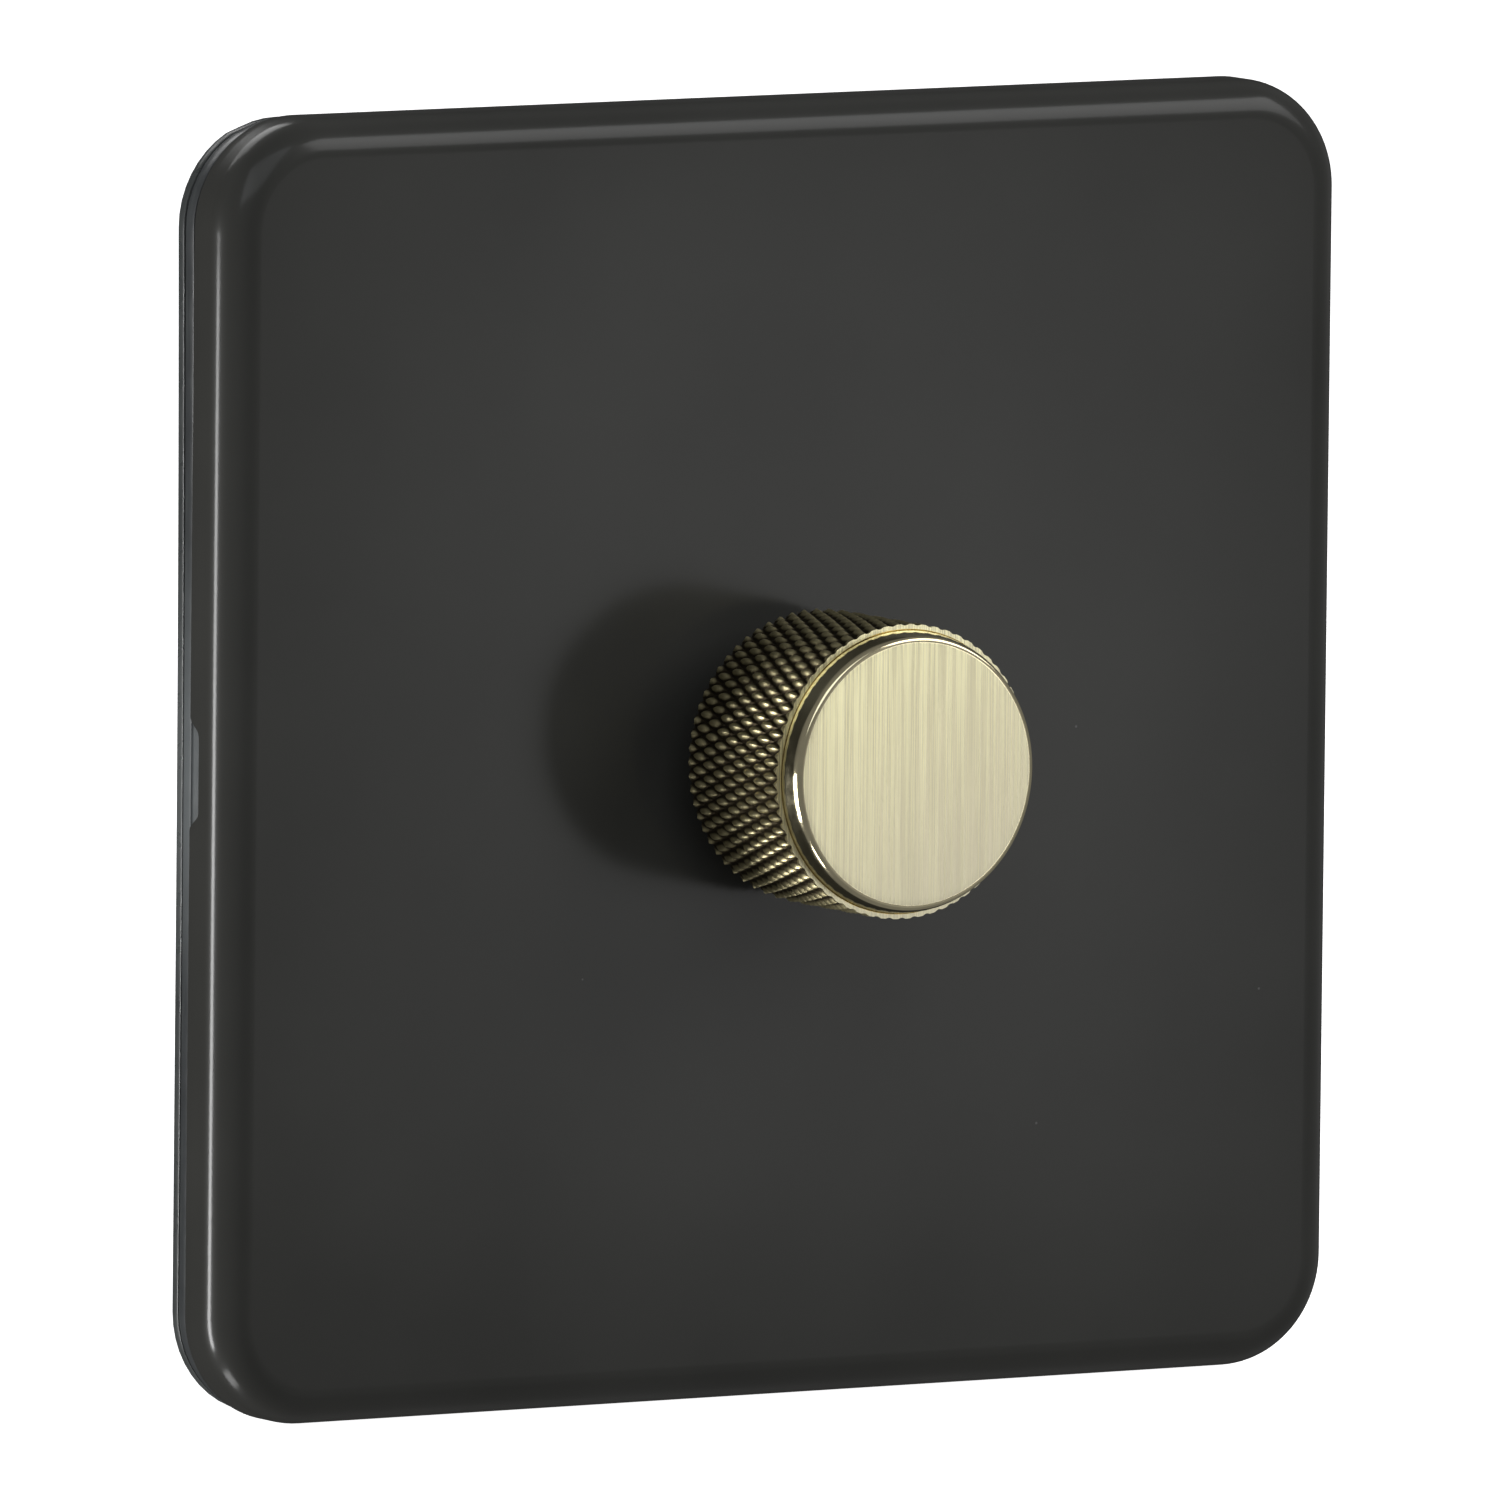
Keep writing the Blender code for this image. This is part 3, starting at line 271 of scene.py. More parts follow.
def taken_up(objects):
    """The first object's shape after its modifiers. All the objects are removed."""
    graph = bpy.context.evaluated_depsgraph_get()
    mesh = bpy.data.meshes.new_from_object(objects[0].evaluated_get(graph))
    bm = bmesh.new()
    bm.from_mesh(mesh)
    bpy.data.meshes.remove(mesh)
    for obj in objects:
        bpy.data.objects.remove(obj)
    return bm


def combined(operation, base, others):
    """A shape joined with (UNION), cut by (DIFFERENCE) or kept within (INTERSECT) other shapes."""
    objects = [loose_object(bm) for bm in (base, *others)]
    for other in objects[1:]:
        modifier = objects[0].modifiers.new("combine", "BOOLEAN")
        modifier.operation = operation
        modifier.solver = "EXACT"
        modifier.object = other
    return taken_up(objects)


def joined(base, *others):
    return combined("UNION", base, others)


def carved(base, *others):
    return combined("DIFFERENCE", base, others)


def eased(bm, width, segments=2):
    """Rounds a shape's sharp edges a little, as a mould or a tumbler leaves them."""
    bmesh.ops.remove_doubles(bm, verts=bm.verts, dist=0.004)
    obj = loose_object(bm)
    bevel = obj.modifiers.new("ease", "BEVEL")
    bevel.width = width
    bevel.segments = segments
    bevel.limit_method = "ANGLE"
    bevel.angle_limit = math.radians(40)
    bevel.use_clamp_overlap = False
    return taken_up([obj])


# ---- materials


class Nodes:
    """A node tree, with short ways to add and link its nodes."""

    def __init__(self, tree):
        self.tree = tree

    def feed(self, node, **inputs):
        """Sets a node's inputs to values or links them to sockets. A name like i0 is an input's number."""
        for key, value in inputs.items():
            numbered = key[0] == "i" and key[1:].isdigit()
            socket = node.inputs[int(key[1:])] if numbered else node.inputs[key.replace("_", " ")]
            if isinstance(value, bpy.types.NodeSocket):
                self.tree.links.new(value, socket)
            else:
                socket.default_value = value

    def add(self, kind, settings=None, **inputs):
        node = self.tree.nodes.new(kind)
        for key, value in (settings or {}).items():
            setattr(node, key, value)
        self.feed(node, **inputs)
        return node

    def math(self, operation, a, b=0.0):
        return self.add("ShaderNodeMath", {"operation": operation}, i0=a, i1=b).outputs[0]

    def vector(self, operation, a, b=(0, 0, 0)):
        node = self.add("ShaderNodeVectorMath", {"operation": operation}, i0=a)
        if operation != "LENGTH":
            self.feed(node, i1=b)
        return node.outputs["Value" if operation == "LENGTH" else "Vector"]

    def parts(self, place):
        """The X, Y and Z of a place."""
        return self.add("ShaderNodeSeparateXYZ", Vector=place).outputs

    def ramp(self, value, low, high, to_low=0.0, to_high=1.0):
        """Carries low to high over to to_low to to_high, and holds the ends."""
        return self.add("ShaderNodeMapRange", Value=value, From_Min=low, From_Max=high, To_Min=to_low,
                        To_Max=to_high).outputs["Result"]

    def mix(self, share, a, b):
        """The colour a at a share of 0, and b at 1."""
        a, b = ((*c, 1) if isinstance(c, tuple) else c for c in (a, b))
        return self.add("ShaderNodeMixRGB", Fac=share, Color1=a, Color2=b).outputs["Color"]


class Surface(Nodes):
    """A Principled material whose textures are measured in the piece's own millimetres."""

    def __init__(self, name, color, roughness, metallic=0.0):
        self.material = bpy.data.materials.new(name)
        self.material.use_nodes = True
        super().__init__(self.material.node_tree)
        self.color = color
        self.shader = self.tree.nodes["Principled BSDF"]
        self.shade(Base_Color=(*color, 1), Roughness=roughness, Metallic=metallic)
        place = self.add("ShaderNodeTexCoord").outputs["Object"]
        self.place = self.vector("MULTIPLY", place, (1 / MM, 1 / MM, 1 / MM))

    def shade(self, **inputs):
        """Sets the Principled shader's inputs."""
        self.feed(self.shader, **inputs)

    def noise(self, size, stretch=(1, 1, 1), detail=3.0):
        """Noise from 0 to 1 with blobs of a size in millimetres, longer where it is stretched."""
        shrink = tuple(1 / (size * s) for s in stretch)
        place = self.vector("MULTIPLY", self.place, shrink)
        return self.add("ShaderNodeTexNoise", Vector=place, Scale=1.0, Detail=detail).outputs["Fac"]

    def mottle(self, share, size=2.0, stretch=(1, 1, 1)):
        """Lets the colour wander lighter and darker by a share."""
        dark = tuple(c * (1 - share) for c in self.color)
        light = tuple(min(1, c * (1 + share)) for c in self.color)
        color = self.mix(self.ramp(self.noise(size, stretch), 0.3, 0.7), dark, light)
        self.shade(Base_Color=color)
        return color

    def uneven(self, low, high, size=1.0, stretch=(1, 1, 1)):
        """Lets the roughness wander between two values."""
        self.shade(Roughness=self.ramp(self.noise(size, stretch), 0.3, 0.7, low, high))

    def radius(self):
        """The distance from the spindle's axis, in millimetres."""
        return self.vector("LENGTH", self.vector("MULTIPLY", self.place, (1, 0, 1)))

    def ringed(self, size):
        """Noise that changes only outwards and along the spindle's axis, like a lathe's marks."""
        depth = self.parts(self.place)["Y"]
        place = self.add("ShaderNodeCombineXYZ", X=self.radius(), Y=depth).outputs["Vector"]
        return self.add("ShaderNodeTexNoise", Vector=place, Scale=1 / size, Detail=3.0).outputs["Fac"]

    def bump(self, height, depth):
        """Raises the surface by a height from 0 to 1, times a depth in millimetres."""
        before = self.shader.inputs["Normal"]
        node = self.add("ShaderNodeBump", Height=height, Distance=depth * MM)
        if before.is_linked:
            self.feed(node, Normal=before.links[0].from_socket)
        self.shade(Normal=node.outputs["Normal"])


def matt_coat(half, edge):
    """A fine matt black powder coat with a faint warm cast and a few specks of dust. Handling has
    polished it along the folded edge, which starts an edge's width inside the half width."""
    surface = Surface("matt_black_coat", (0.036, 0.036, 0.033), 0.36)
    parts = surface.parts(surface.place)
    outward = surface.math("MAXIMUM", *[surface.math("ABSOLUTE", parts[axis]) for axis in ("X", "Z")])
    polish = surface.ramp(outward, half - edge, half - 0.5 * edge, 0.24, 0.50)
    surface.shade(Specular_IOR_Level=0.08, Coat_Weight=polish, Coat_Roughness=0.16, Coat_IOR=1.45)
    base = surface.mottle(0.12, 18)
    cells = surface.add("ShaderNodeTexVoronoi", Vector=surface.place, Scale=0.14).outputs["Distance"]
    dust = surface.ramp(cells, 0.010, 0.016, 0.25, 0.0)
    surface.shade(Base_Color=surface.mix(dust, base, (0.3, 0.3, 0.3)))
    surface.uneven(0.34, 0.38, 9)
    surface.bump(surface.noise(0.09, detail=2), 0.0012)
    return surface.material


def knurled_brass(crest):
    """Antique brass: the crests are rubbed to pale gold, and a dark patina is left in the grooves."""
    surface = Surface("knurled_brass", (0.78, 0.70, 0.42), 0.24, 1.0)
    patchy = surface.ramp(surface.noise(0.6), 0.3, 0.7, -0.03, 0.03)
    rubbed = surface.ramp(surface.math("ADD", surface.radius(), patchy), crest - 0.28, crest - 0.12)
    gold = surface.mix(surface.noise(1.2), (0.66, 0.58, 0.34), (0.86, 0.77, 0.44))
    color = surface.mix(rubbed, (0.06, 0.048, 0.03), gold)
    surface.shade(Base_Color=color, Roughness=surface.ramp(rubbed, 0.0, 1.0, 0.50, 0.36))
    surface.bump(surface.noise(0.07), 0.004)
    return surface.material


def polished_brass():
    """The turned steps in front of the knurl, dark-toned and polished, with fine lathe rings."""
    surface = Surface("polished_brass", (0.70, 0.63, 0.42), 0.12, 1.0)
    surface.mottle(0.08, 1.5)
    surface.uneven(0.08, 0.15, 0.8)
    surface.bump(surface.noise(0.05, (30, 1, 30)), 0.0006)
    return surface.material


def brushed_brass():
    """The flat front face, brushed up and down, with painted shade that darkens it towards the lower right.
    """
    surface = Surface("brushed_brass", (0.74, 0.70, 0.50), 0.34, 1.0)
    fine, broad = surface.noise(0.11, (1, 1, 130), 5), surface.noise(0.5, (1, 1, 40), 3)
    shade = surface.math("ADD", surface.math("MULTIPLY", fine, 0.8), surface.math("MULTIPLY", broad, 0.2))
    color = surface.mix(surface.ramp(shade, 0.43, 0.57), (0.60, 0.555, 0.365), (0.99, 0.935, 0.60))
    parts = surface.parts(surface.place)
    # painted shade: a darker, streaked colour is mixed in towards the lower right of the face
    slope = surface.math("SUBTRACT", surface.math("MULTIPLY", parts["X"], 0.6), parts["Z"])
    painted_shade = surface.ramp(slope, -9, 9, 0.0, 0.6)
    color = surface.mix(painted_shade, color, surface.mix(fine, (0.46, 0.42, 0.33), (0.62, 0.57, 0.43)))
    surface.shade(Base_Color=color, Roughness=surface.ramp(fine, 0.3, 0.7, 0.30, 0.42))
    surface.bump(fine, 0.006)
    return surface.material


def moulded(name, color, roughness, grain=0.12, depth=0.005, cloud=0.10):
    """Moulded plastic with a fine eroded grain and slow changes of shade."""
    surface = Surface(name, color, roughness)
    surface.mottle(cloud, 6)
    surface.uneven(roughness - 0.06, roughness + 0.06, 1.5)
    surface.bump(surface.noise(grain, detail=2), depth)
    return surface


def metal(name, color, low, high, size=0.8, stretch=(1, 1, 1), cloud=0.10, depth=0.002):
    """Bare or plated metal, with its roughness between two values and drawn marks where it is stretched."""
    surface = Surface(name, color, (low + high) / 2, 1.0)
    surface.mottle(cloud, size * 2, stretch)
    surface.uneven(low, high, size, stretch)
    surface.bump(surface.noise(size * 0.12, stretch, 2), depth)
    return surface


def notch_pale_share(surface):
    """From 1 beside the pry notch to 0 further up and down the side."""
    height = surface.math("ABSOLUTE", surface.parts(surface.place)["Z"])
    return surface.ramp(height, NOTCH_HALF + NOTCH_SLOPE, NOTCH_PALE_REACH, 1.0, 0.0)


def frame_plastic():
    """Dark moulded plastic with flow marks, paler beside the pry notch."""
    surface = moulded("frame_plastic", (0.040, 0.043, 0.045), 0.34, 0.15, 0.005)
    streaks = surface.ramp(surface.noise(1.6, (1, 0.25, 3)), 0.52, 0.75)
    marked = surface.mix(streaks, surface.mottle(0.10, 5), (0.056, 0.061, 0.061))
    # paler colour beside the pry notch, fading further up and down the side
    color = surface.mix(notch_pale_share(surface), marked, (0.115, 0.124, 0.127))
    surface.shade(Base_Color=color)
    return surface


def clear_gasket():
    """A clear soft sheet, dark where the wall is behind it, with cloudy patches."""
    surface = Surface("clear_gasket", (0.07, 0.075, 0.074), 0.32)
    cloudy = surface.ramp(surface.noise(4, (1, 1, 2.5)), 0.45, 0.72)
    patches = surface.mix(cloudy, (0.055, 0.060, 0.060), (0.085, 0.092, 0.091))
    # paler colour beside the pry notch, fading further up and down the side
    color = surface.mix(notch_pale_share(surface), patches, (0.115, 0.124, 0.123))
    surface.shade(Base_Color=color, Transmission_Weight=0.25, IOR=1.42)
    surface.uneven(0.22, 0.42, 1.2)
    surface.bump(surface.noise(0.35), 0.004)
    return surface


def brass():
    """Turned brass, with rings left by the tool."""
    surface = metal("turned_brass", (0.79, 0.60, 0.31), 0.18, 0.32)
    surface.bump(surface.ringed(0.11), 0.004)
    return surface


def zinc_steel():
    """Bright zinc plate with a faint passivated tint in broad patches."""
    surface = metal("zinc_steel", (0.62, 0.62, 0.63), 0.20, 0.36, 0.7)
    tint = surface.ramp(surface.noise(1.4), 0.45, 0.7, 0.0, 0.5)
    surface.shade(Base_Color=surface.mix(tint, surface.mottle(0.10, 1), (0.66, 0.63, 0.50)))
    return surface


def spring_steel():
    return metal("spring_steel", (0.42, 0.42, 0.44), 0.24, 0.38, 0.4, (1, 6, 1))


def aluminium():
    """Rolled sheet, with its rolling marks up and down."""
    return metal("aluminium", (0.76, 0.77, 0.79), 0.26, 0.42, 0.3, (1, 1, 25), 0.08, 0.003)


def white_nylon():
    surface = moulded("white_nylon", (0.78, 0.765, 0.71), 0.40, 0.2, 0.003, 0.04)
    surface.shade(Subsurface_Weight=0.15, Subsurface_Scale=0.001)
    return surface


def board_green():
    """Solder mask over copper tracks, which show through as lighter green."""
    surface = Surface("board_green", (0.02, 0.13, 0.055), 0.35)
    turned_up = surface.add("ShaderNodeVectorRotate", {"rotation_type": "X_AXIS"}, Vector=surface.place,
                            Angle=math.radians(90)).outputs["Vector"]
    tracks = surface.add("ShaderNodeTexBrick", Vector=turned_up, Scale=1.0, Mortar_Size=0.16,
                         Brick_Width=5.0, Row_Height=2.54).outputs["Fac"]
    surface.shade(Base_Color=surface.mix(tracks, surface.mottle(0.12, 3), (0.05, 0.24, 0.10)))
    surface.uneven(0.28, 0.4, 1.5)
    surface.bump(tracks, 0.03)
    return surface


def phenolic():
    surface = moulded("phenolic", (0.33, 0.18, 0.085), 0.5, 0.1, 0.004)
    fibres = surface.ramp(surface.noise(0.25, (9, 1, 1)), 0.35, 0.65)
    surface.shade(Base_Color=surface.mix(fibres, (0.26, 0.14, 0.065), (0.42, 0.24, 0.12)))
    return surface


def enamelled_copper():
    surface = metal("enamelled_copper", (0.62, 0.22, 0.075), 0.16, 0.28, 0.5)
    surface.shade(Coat_Weight=0.8, Coat_Roughness=0.08)
    return surface


def copper():
    surface = metal("copper", (0.83, 0.44, 0.31), 0.2, 0.34, 0.6)
    stain = surface.ramp(surface.noise(0.9), 0.55, 0.75, 0.0, 0.6)
    surface.shade(Base_Color=surface.mix(stain, surface.mottle(0.10, 1), (0.42, 0.20, 0.13)))
    return surface


def ferrite():
    surface = moulded("ferrite", (0.055, 0.056, 0.062), 0.55, 0.2, 0.03)
    grains = surface.add("ShaderNodeTexVoronoi", Vector=surface.place, Scale=4.0).outputs["Distance"]
    surface.bump(grains, 0.02)
    return surface


def film_yellow():
    surface = moulded("film_yellow", (0.74, 0.50, 0.045), 0.3, 0.6, 0.01, 0.06)
    surface.shade(Coat_Weight=0.5, Coat_Roughness=0.12)
    return surface


def fuse_ceramic():
    surface = moulded("fuse_ceramic", (0.80, 0.78, 0.72), 0.3, 0.5, 0.004, 0.03)
    specks = surface.ramp(surface.noise(0.22), 0.66, 0.72, 0.0, 0.5)
    surface.shade(Base_Color=surface.mix(specks, surface.mottle(0.04, 2), (0.45, 0.40, 0.32)))
    return surface


def silicone_pad():
    """A filled silicone sheet with a glass weave just under its surface."""
    surface = moulded("silicone_pad", (0.42, 0.47, 0.52), 0.62, 0.3, 0.004)
    across = surface.add("ShaderNodeTexWave", {"bands_direction": "X"}, Vector=surface.place, Scale=1.2)
    upward = surface.add("ShaderNodeTexWave", {"bands_direction": "Z"}, Vector=surface.place, Scale=1.2)
    surface.bump(surface.math("MULTIPLY", across.outputs["Fac"], upward.outputs["Fac"]), 0.03)
    return surface


def black_plastic():
    return moulded("black_plastic", (0.020, 0.020, 0.022), 0.42)


def grey_plastic():
    return moulded("grey_plastic", (0.22, 0.23, 0.24), 0.46)


FINISHES = {make.__name__: make for make in (
    frame_plastic, clear_gasket, brass, zinc_steel, spring_steel, aluminium, black_plastic, grey_plastic,
    white_nylon, board_green, phenolic, enamelled_copper, copper, ferrite, film_yellow, fuse_ceramic,
    silicone_pad)}
SLOT_OF = {part["node"]: part["material_slot"] for part in frame["record"]["subparts"]}
made_finishes = {}


def finish_for(slot):
    """The slot's material, made once."""
    if slot not in made_finishes:
        made_finishes[slot] = FINISHES[slot]().material
    return made_finishes[slot]


def make_part(node, bm, body="module", sharp=35):
    """A piece in place of one CAD node, with the finish of the node's slot."""
    slot = SLOT_OF[node]
    return make_piece(node + "_piece", bm, [finish_for(slot)], body, [node], sharp)


# ---- cover


COVER_CORNER = 7.5
COVER_EDGE = 2.5
COVER_SHEET = 1.0
COVER_HOLE = 5.6
RIM_ROUND = 0.14
FACE_SUPPORT = 0.12  # from the bend to the ring that keeps the face flat
NOTCH_DEPTH = 1.2
NOTCH_HALF = 2.6
NOTCH_SLOPE = 1.2
# how far up and down the side the paler colour beside the pry notch reaches
NOTCH_PALE_REACH = 16


def notch_lift(y):
    """How far the pry notch lifts the rim at a height up the left side."""
    share = min(1.0, max(0.0, (NOTCH_HALF + NOTCH_SLOPE - abs(y)) / NOTCH_SLOPE))
    return NOTCH_DEPTH * share * share * (3 - 2 * share)


def square_columns(half, corner, corner_steps=24):
    """Anchors and outward directions round a square with round corners, close together near the middle
    of each side."""
    reach = half - corner
    near = [i * 0.2 for i in range(21)]
    far = spaced(near[-1], reach, 8)[1:-1]
    along = [-v for v in reversed(far)] + [-v for v in reversed(near[1:])] + near + far
    columns = []
    for side in range(4):
        turn = Matrix.Rotation(math.radians(90 * side), 2)
        outward = turn @ Vector((1, 0))
        columns += [(turn @ Vector((reach, v)), outward) for v in along]
        anchor = turn @ Vector((reach, reach))
        for i in range(corner_steps + 1):
            angle = math.radians(90 * side + 90 * i / corner_steps)
            columns.append((anchor, Vector((math.cos(angle), math.sin(angle)))))
    return columns


def make_cover():
    """The pressed cover: flat face, soft round edge, short skirt, spindle hole and pry notch."""
    low, high = wall_box("front_plate")
    half, rim, face = high.x, low.z, high.z
    bend = face - COVER_EDGE
    inside = face - COVER_SHEET
    inner_edge = COVER_EDGE - COVER_SHEET
    skirt = bend - rim
    columns = square_columns(half, COVER_CORNER)
    upward = [(COVER_SHEET, rim + RIM_ROUND), (COVER_SHEET - RIM_ROUND * 0.3, rim + RIM_ROUND * 0.3),
              (COVER_SHEET - RIM_ROUND, rim), (RIM_ROUND, rim), (RIM_ROUND * 0.3, rim + RIM_ROUND * 0.3),
              (0, rim + RIM_ROUND), (0, rim + skirt * 0.5), (0, bend - 0.1)]
    outer_bend = arc(COVER_EDGE, 180, 90, 20, (COVER_EDGE, bend))
    inner_bend = arc(inner_edge, 180, 90, 8, (COVER_EDGE, bend))

    def loop(inset, height):
        ring = []
        for anchor, outward in columns:
            place = anchor + outward * (COVER_CORNER - inset)
            left = outward.x < -0.999
            share = max(0.0, (bend - height) / skirt)
            lift = notch_lift(place.y) * share if left else 0.0
            ring.append((place.x, place.y, height + lift))
        return ring

    def web(share, height, hole=COVER_HOLE):
        ring = []
        for anchor, outward in columns:
            edge = anchor + outward * (COVER_CORNER - COVER_EDGE - FACE_SUPPORT)
            middle = edge.normalized() * hole
            place = edge.lerp(middle, share)
            ring.append((place.x, place.y, height))
        return ring

    rings = [loop(inset, height) for inset, height in upward + outer_bend]
    rings += [web(share, face) for share in (0, 0.02, 0.25, 0.5, 0.75, 0.95)]
    rings += [web(1, face, COVER_HOLE + 0.15), web(1, face - 0.04, COVER_HOLE + 0.04),
              web(1, face - 0.15), web(1, inside)]
    rings += [web(share, inside) for share in (0.95, 0.5, 0.02, 0)]
    rings += [loop(inset, height) for inset, height in reversed(inner_bend)]
    bm = bmesh.new()
    add_rings(bm, rings, wrap=True)
    make_piece("cover", bm, [matt_coat(half, COVER_EDGE)], "module", ["front_plate"])


# ---- knob


KNURL_LENGTH = 11.7
KNURL_STARTS = 64
KNURL_PITCHES = 4.5
KNURL_DEPTH = 0.40
KNURL_RUNOUT = 0.35
KNURL_RUNOUT_LENGTH = 0.6
KNURL_SAMPLES = 10
KNOB_WALL = 1.3
KNOB_TOP_WALL = 1.5
KNOB_CHAMFER = 0.25


def knurl_depth(angle, height, pitch):
    """Depth below the crests, where two crossing families of helical grooves leave rounded diamonds.
    Height is 0 at the knurl's front end, where the grooves run out shallow, and negative behind it."""
    turns, rise = KNURL_STARTS * angle / TURN, height / pitch
    crest = abs(math.sin(math.pi * (turns + rise)) * math.sin(math.pi * (turns - rise)))
    deep = KNURL_RUNOUT + (1 - KNURL_RUNOUT) * min(1.0, -height / KNURL_RUNOUT_LENGTH)
    return KNURL_DEPTH * deep * (1 - crest)


def make_knob():
    """The turned brass knob: knurled barrel, shoulder, polished steps and a brushed face."""
    low, high = wall_box("knob_shell")
    radius, back, face = high.x, low.z, high.z
    end = back + KNURL_LENGTH
    pitch = KNURL_LENGTH / KNURL_PITCHES
    rows = round(KNURL_PITCHES * KNURL_SAMPLES)
    columns = KNURL_STARTS * KNURL_SAMPLES
    inner, ceiling = radius - KNOB_WALL, face - KNOB_TOP_WALL
    rim = radius - KNOB_CHAMFER
    mouth = [(inner, ceiling), (inner, back + 0.15), (inner + 0.15, back), (rim - 0.4, back)]
    hollow = [(0, ceiling), (inner - 0.3, ceiling), *softened(mouth, 0.1, 2)]
    # from the knurl's front end: an undercut, three tapered steps, a round edge and the face's rim
    steps = [(9.62, end), (9.59, end - 0.03), (9.565, end - 0.10), (9.555, end - 0.05), (9.55, end + 0.02),
             (9.50, end + 0.42), (9.485, end + 0.46), (9.43, end + 0.86), (9.415, end + 0.90),
             (9.39, end + 1.10), (9.25, end + 1.47), (9.18, end + 1.60), (9.10, face - 0.045),
             (9.0, face - 0.012), (8.86, face)]
    rings = turned_rings(hollow, segments=columns)
    first = len(rings)
    for k in range(rows + 1):
        height = back + KNURL_LENGTH * k / rows
        ring = []
        for i in range(columns):
            angle = TURN * i / columns
            reach = radius - knurl_depth(angle, height - end, pitch)
            reach = min(reach, rim + (height - back), radius - 0.05 + (end - height))
            ring.append((reach * math.cos(angle), reach * math.sin(angle), height))
        rings.append(ring)
    last = len(rings) - 1
    rings += turned_rings(steps, segments=columns)
    brushed_from = len(rings) - 1
    rings += turned_rings([(r, face) for r in (8.4, 7, 5, 3, 1)] + [(0, face)], segments=columns)

    def finish_of(k):
        """0 for the knurl, 1 for the hollow and the steps, and 2 for the knurl's front edge and the face."""
        if first - 1 <= k < last:
            return 0
        return 2 if k == last or k >= brushed_from else 1

    def cut_of(k, i):
        row = rows - (k - first)
        return (i + row) % KNURL_SAMPLES == 0

    bm = bmesh.new()
    add_rings(bm, rings, finish_of, split=cut_of)
    finishes = [knurled_brass(radius), polished_brass(), brushed_brass()]
    make_piece("knob", bm, finishes, "knob", ["knob_shell"], sharp=30)


# ---- frame and gasket


FLANGE_CORNER = COVER_CORNER - 0.3
FRAME_INSET = 1.4
LUG_OFFSET = 27.2
LUG_HALF = 3.15
WARP_START = -12  # the height from which the sheets behind the cover stand out at the left
WARP_RISE = 50


def warped(outline, reach):
    """Pulls the upper left side of an outline out a little, as the sheet behind the cover has warped."""
    moved = []
    for x, y in outline:
        share = min(1.0, max(0.0, (y - WARP_START) / WARP_RISE)) if x < -40 else 0.0
        moved.append((x - reach * share * share, y))
    return moved


def side_points(half, corner):
    """A square with round corners and extra points up its sides, so that it can be warped."""
    return [tuple(anchor + outward * corner) for anchor, outward in square_columns(half, corner, 12)]


def pry_ledge(foot, edge, wall_half):
    """The sloped ledge that fills the cover's pry notch, where a screwdriver would bear."""
    steps, reach = 32, NOTCH_HALF + NOTCH_SLOPE
    inner, outer, sunk, play, lean = -wall_half + 0.1, -edge + 0.38, 0.3, 0.08, 0.42
    rings = []
    for i in range(steps + 1):
        y = reach * (2 * i / steps - 1)
        rise = notch_lift(y) + play
        rings.append([(inner, y, foot - sunk), (outer, y, foot - sunk), (outer, y, foot),
                      (outer + lean * rise, y, foot + rise), (inner, y, foot + rise)])
    return capped(rings)


def snap_lugs(wall_half, flange_top):
    """Wedges that the cover snaps over: two each at the top and bottom, and one at each side."""
    foot, reach = wall_half - 1, wall_half + 0.2
    wedge = [(foot, flange_top + 0.6), (reach, flange_top + 0.95), (reach, flange_top + 1.2),
             (foot, flange_top + 1.6)]
    lugs = []
    for turn in range(4):
        for across in (-LUG_OFFSET, LUG_OFFSET) if turn % 2 else (0,):
            lug = prism(wedge, across - LUG_HALF, across + LUG_HALF)
            lug.transform(Matrix(((1, 0, 0, 0), (0, 0, 1, 0), (0, 1, 0, 0), (0, 0, 0, 1))))
            lug.transform(Matrix.Rotation(math.radians(90 * turn), 4, "Z"))
            lugs.append(lug)
    return lugs


def web_ribs(web_top):
    """The ribs that stiffen the web, and the ring round its bush hole."""
    foot, rim = web_top - 0.5, web_top + 1
    ribs = []
    for side in (-1, 1):
        ribs.append(block((1.4, 26), foot, web_top + 2, at=(0, side * 26)))
        ribs.append(block((15, 1.4), foot, web_top + 2, at=(side * 18, 0)))
        for end in (-1, 1):
            ribs.append(block((1.2, 19), foot, web_top + 1.2, at=(side * 23, end * 26)))
            ribs.append(block((17, 1.2), foot, web_top + 1.2, at=(side * 31.5, end * 16.5)))
    ribs.append(turned([(9.2, foot), (10.2, foot), (10.2, rim), (9.2, rim)], segments=64))
    return ribs


def web_openings(back, web_top, wall_top):
    """What is cut from the web: the bush hole, screw slots, windows and the earth spring's slot."""
    cuts = [rod(5.3, back - 1, wall_box("threaded_bush")[1].z)]
    for side in (-1, 1):
        middle = side * centre_of("fixing_screw_right")[0]
        cuts.append(prism(upright_slot(4.0, 7.0, (middle, 0)), back - 1, wall_top + 1))
        cuts.append(prism(upright_slot(7.6, 10.6, (middle, 0)), web_top - 0.05, wall_top + 1))
        for end in (-1, 1):
            cuts.append(block((13, 8), back - 1, wall_top + 1, (side * 12, end * 17), 1.0))
    spring_low, spring_high = wall_box("earth_spring")
    at = (centre_of("earth_spring")[0], spring_high.y - 1.2)
    cuts.append(block((spring_high.x - spring_low.x + 0.8, 3.2), back - 1, web_top + 1.5, at))
    return cuts


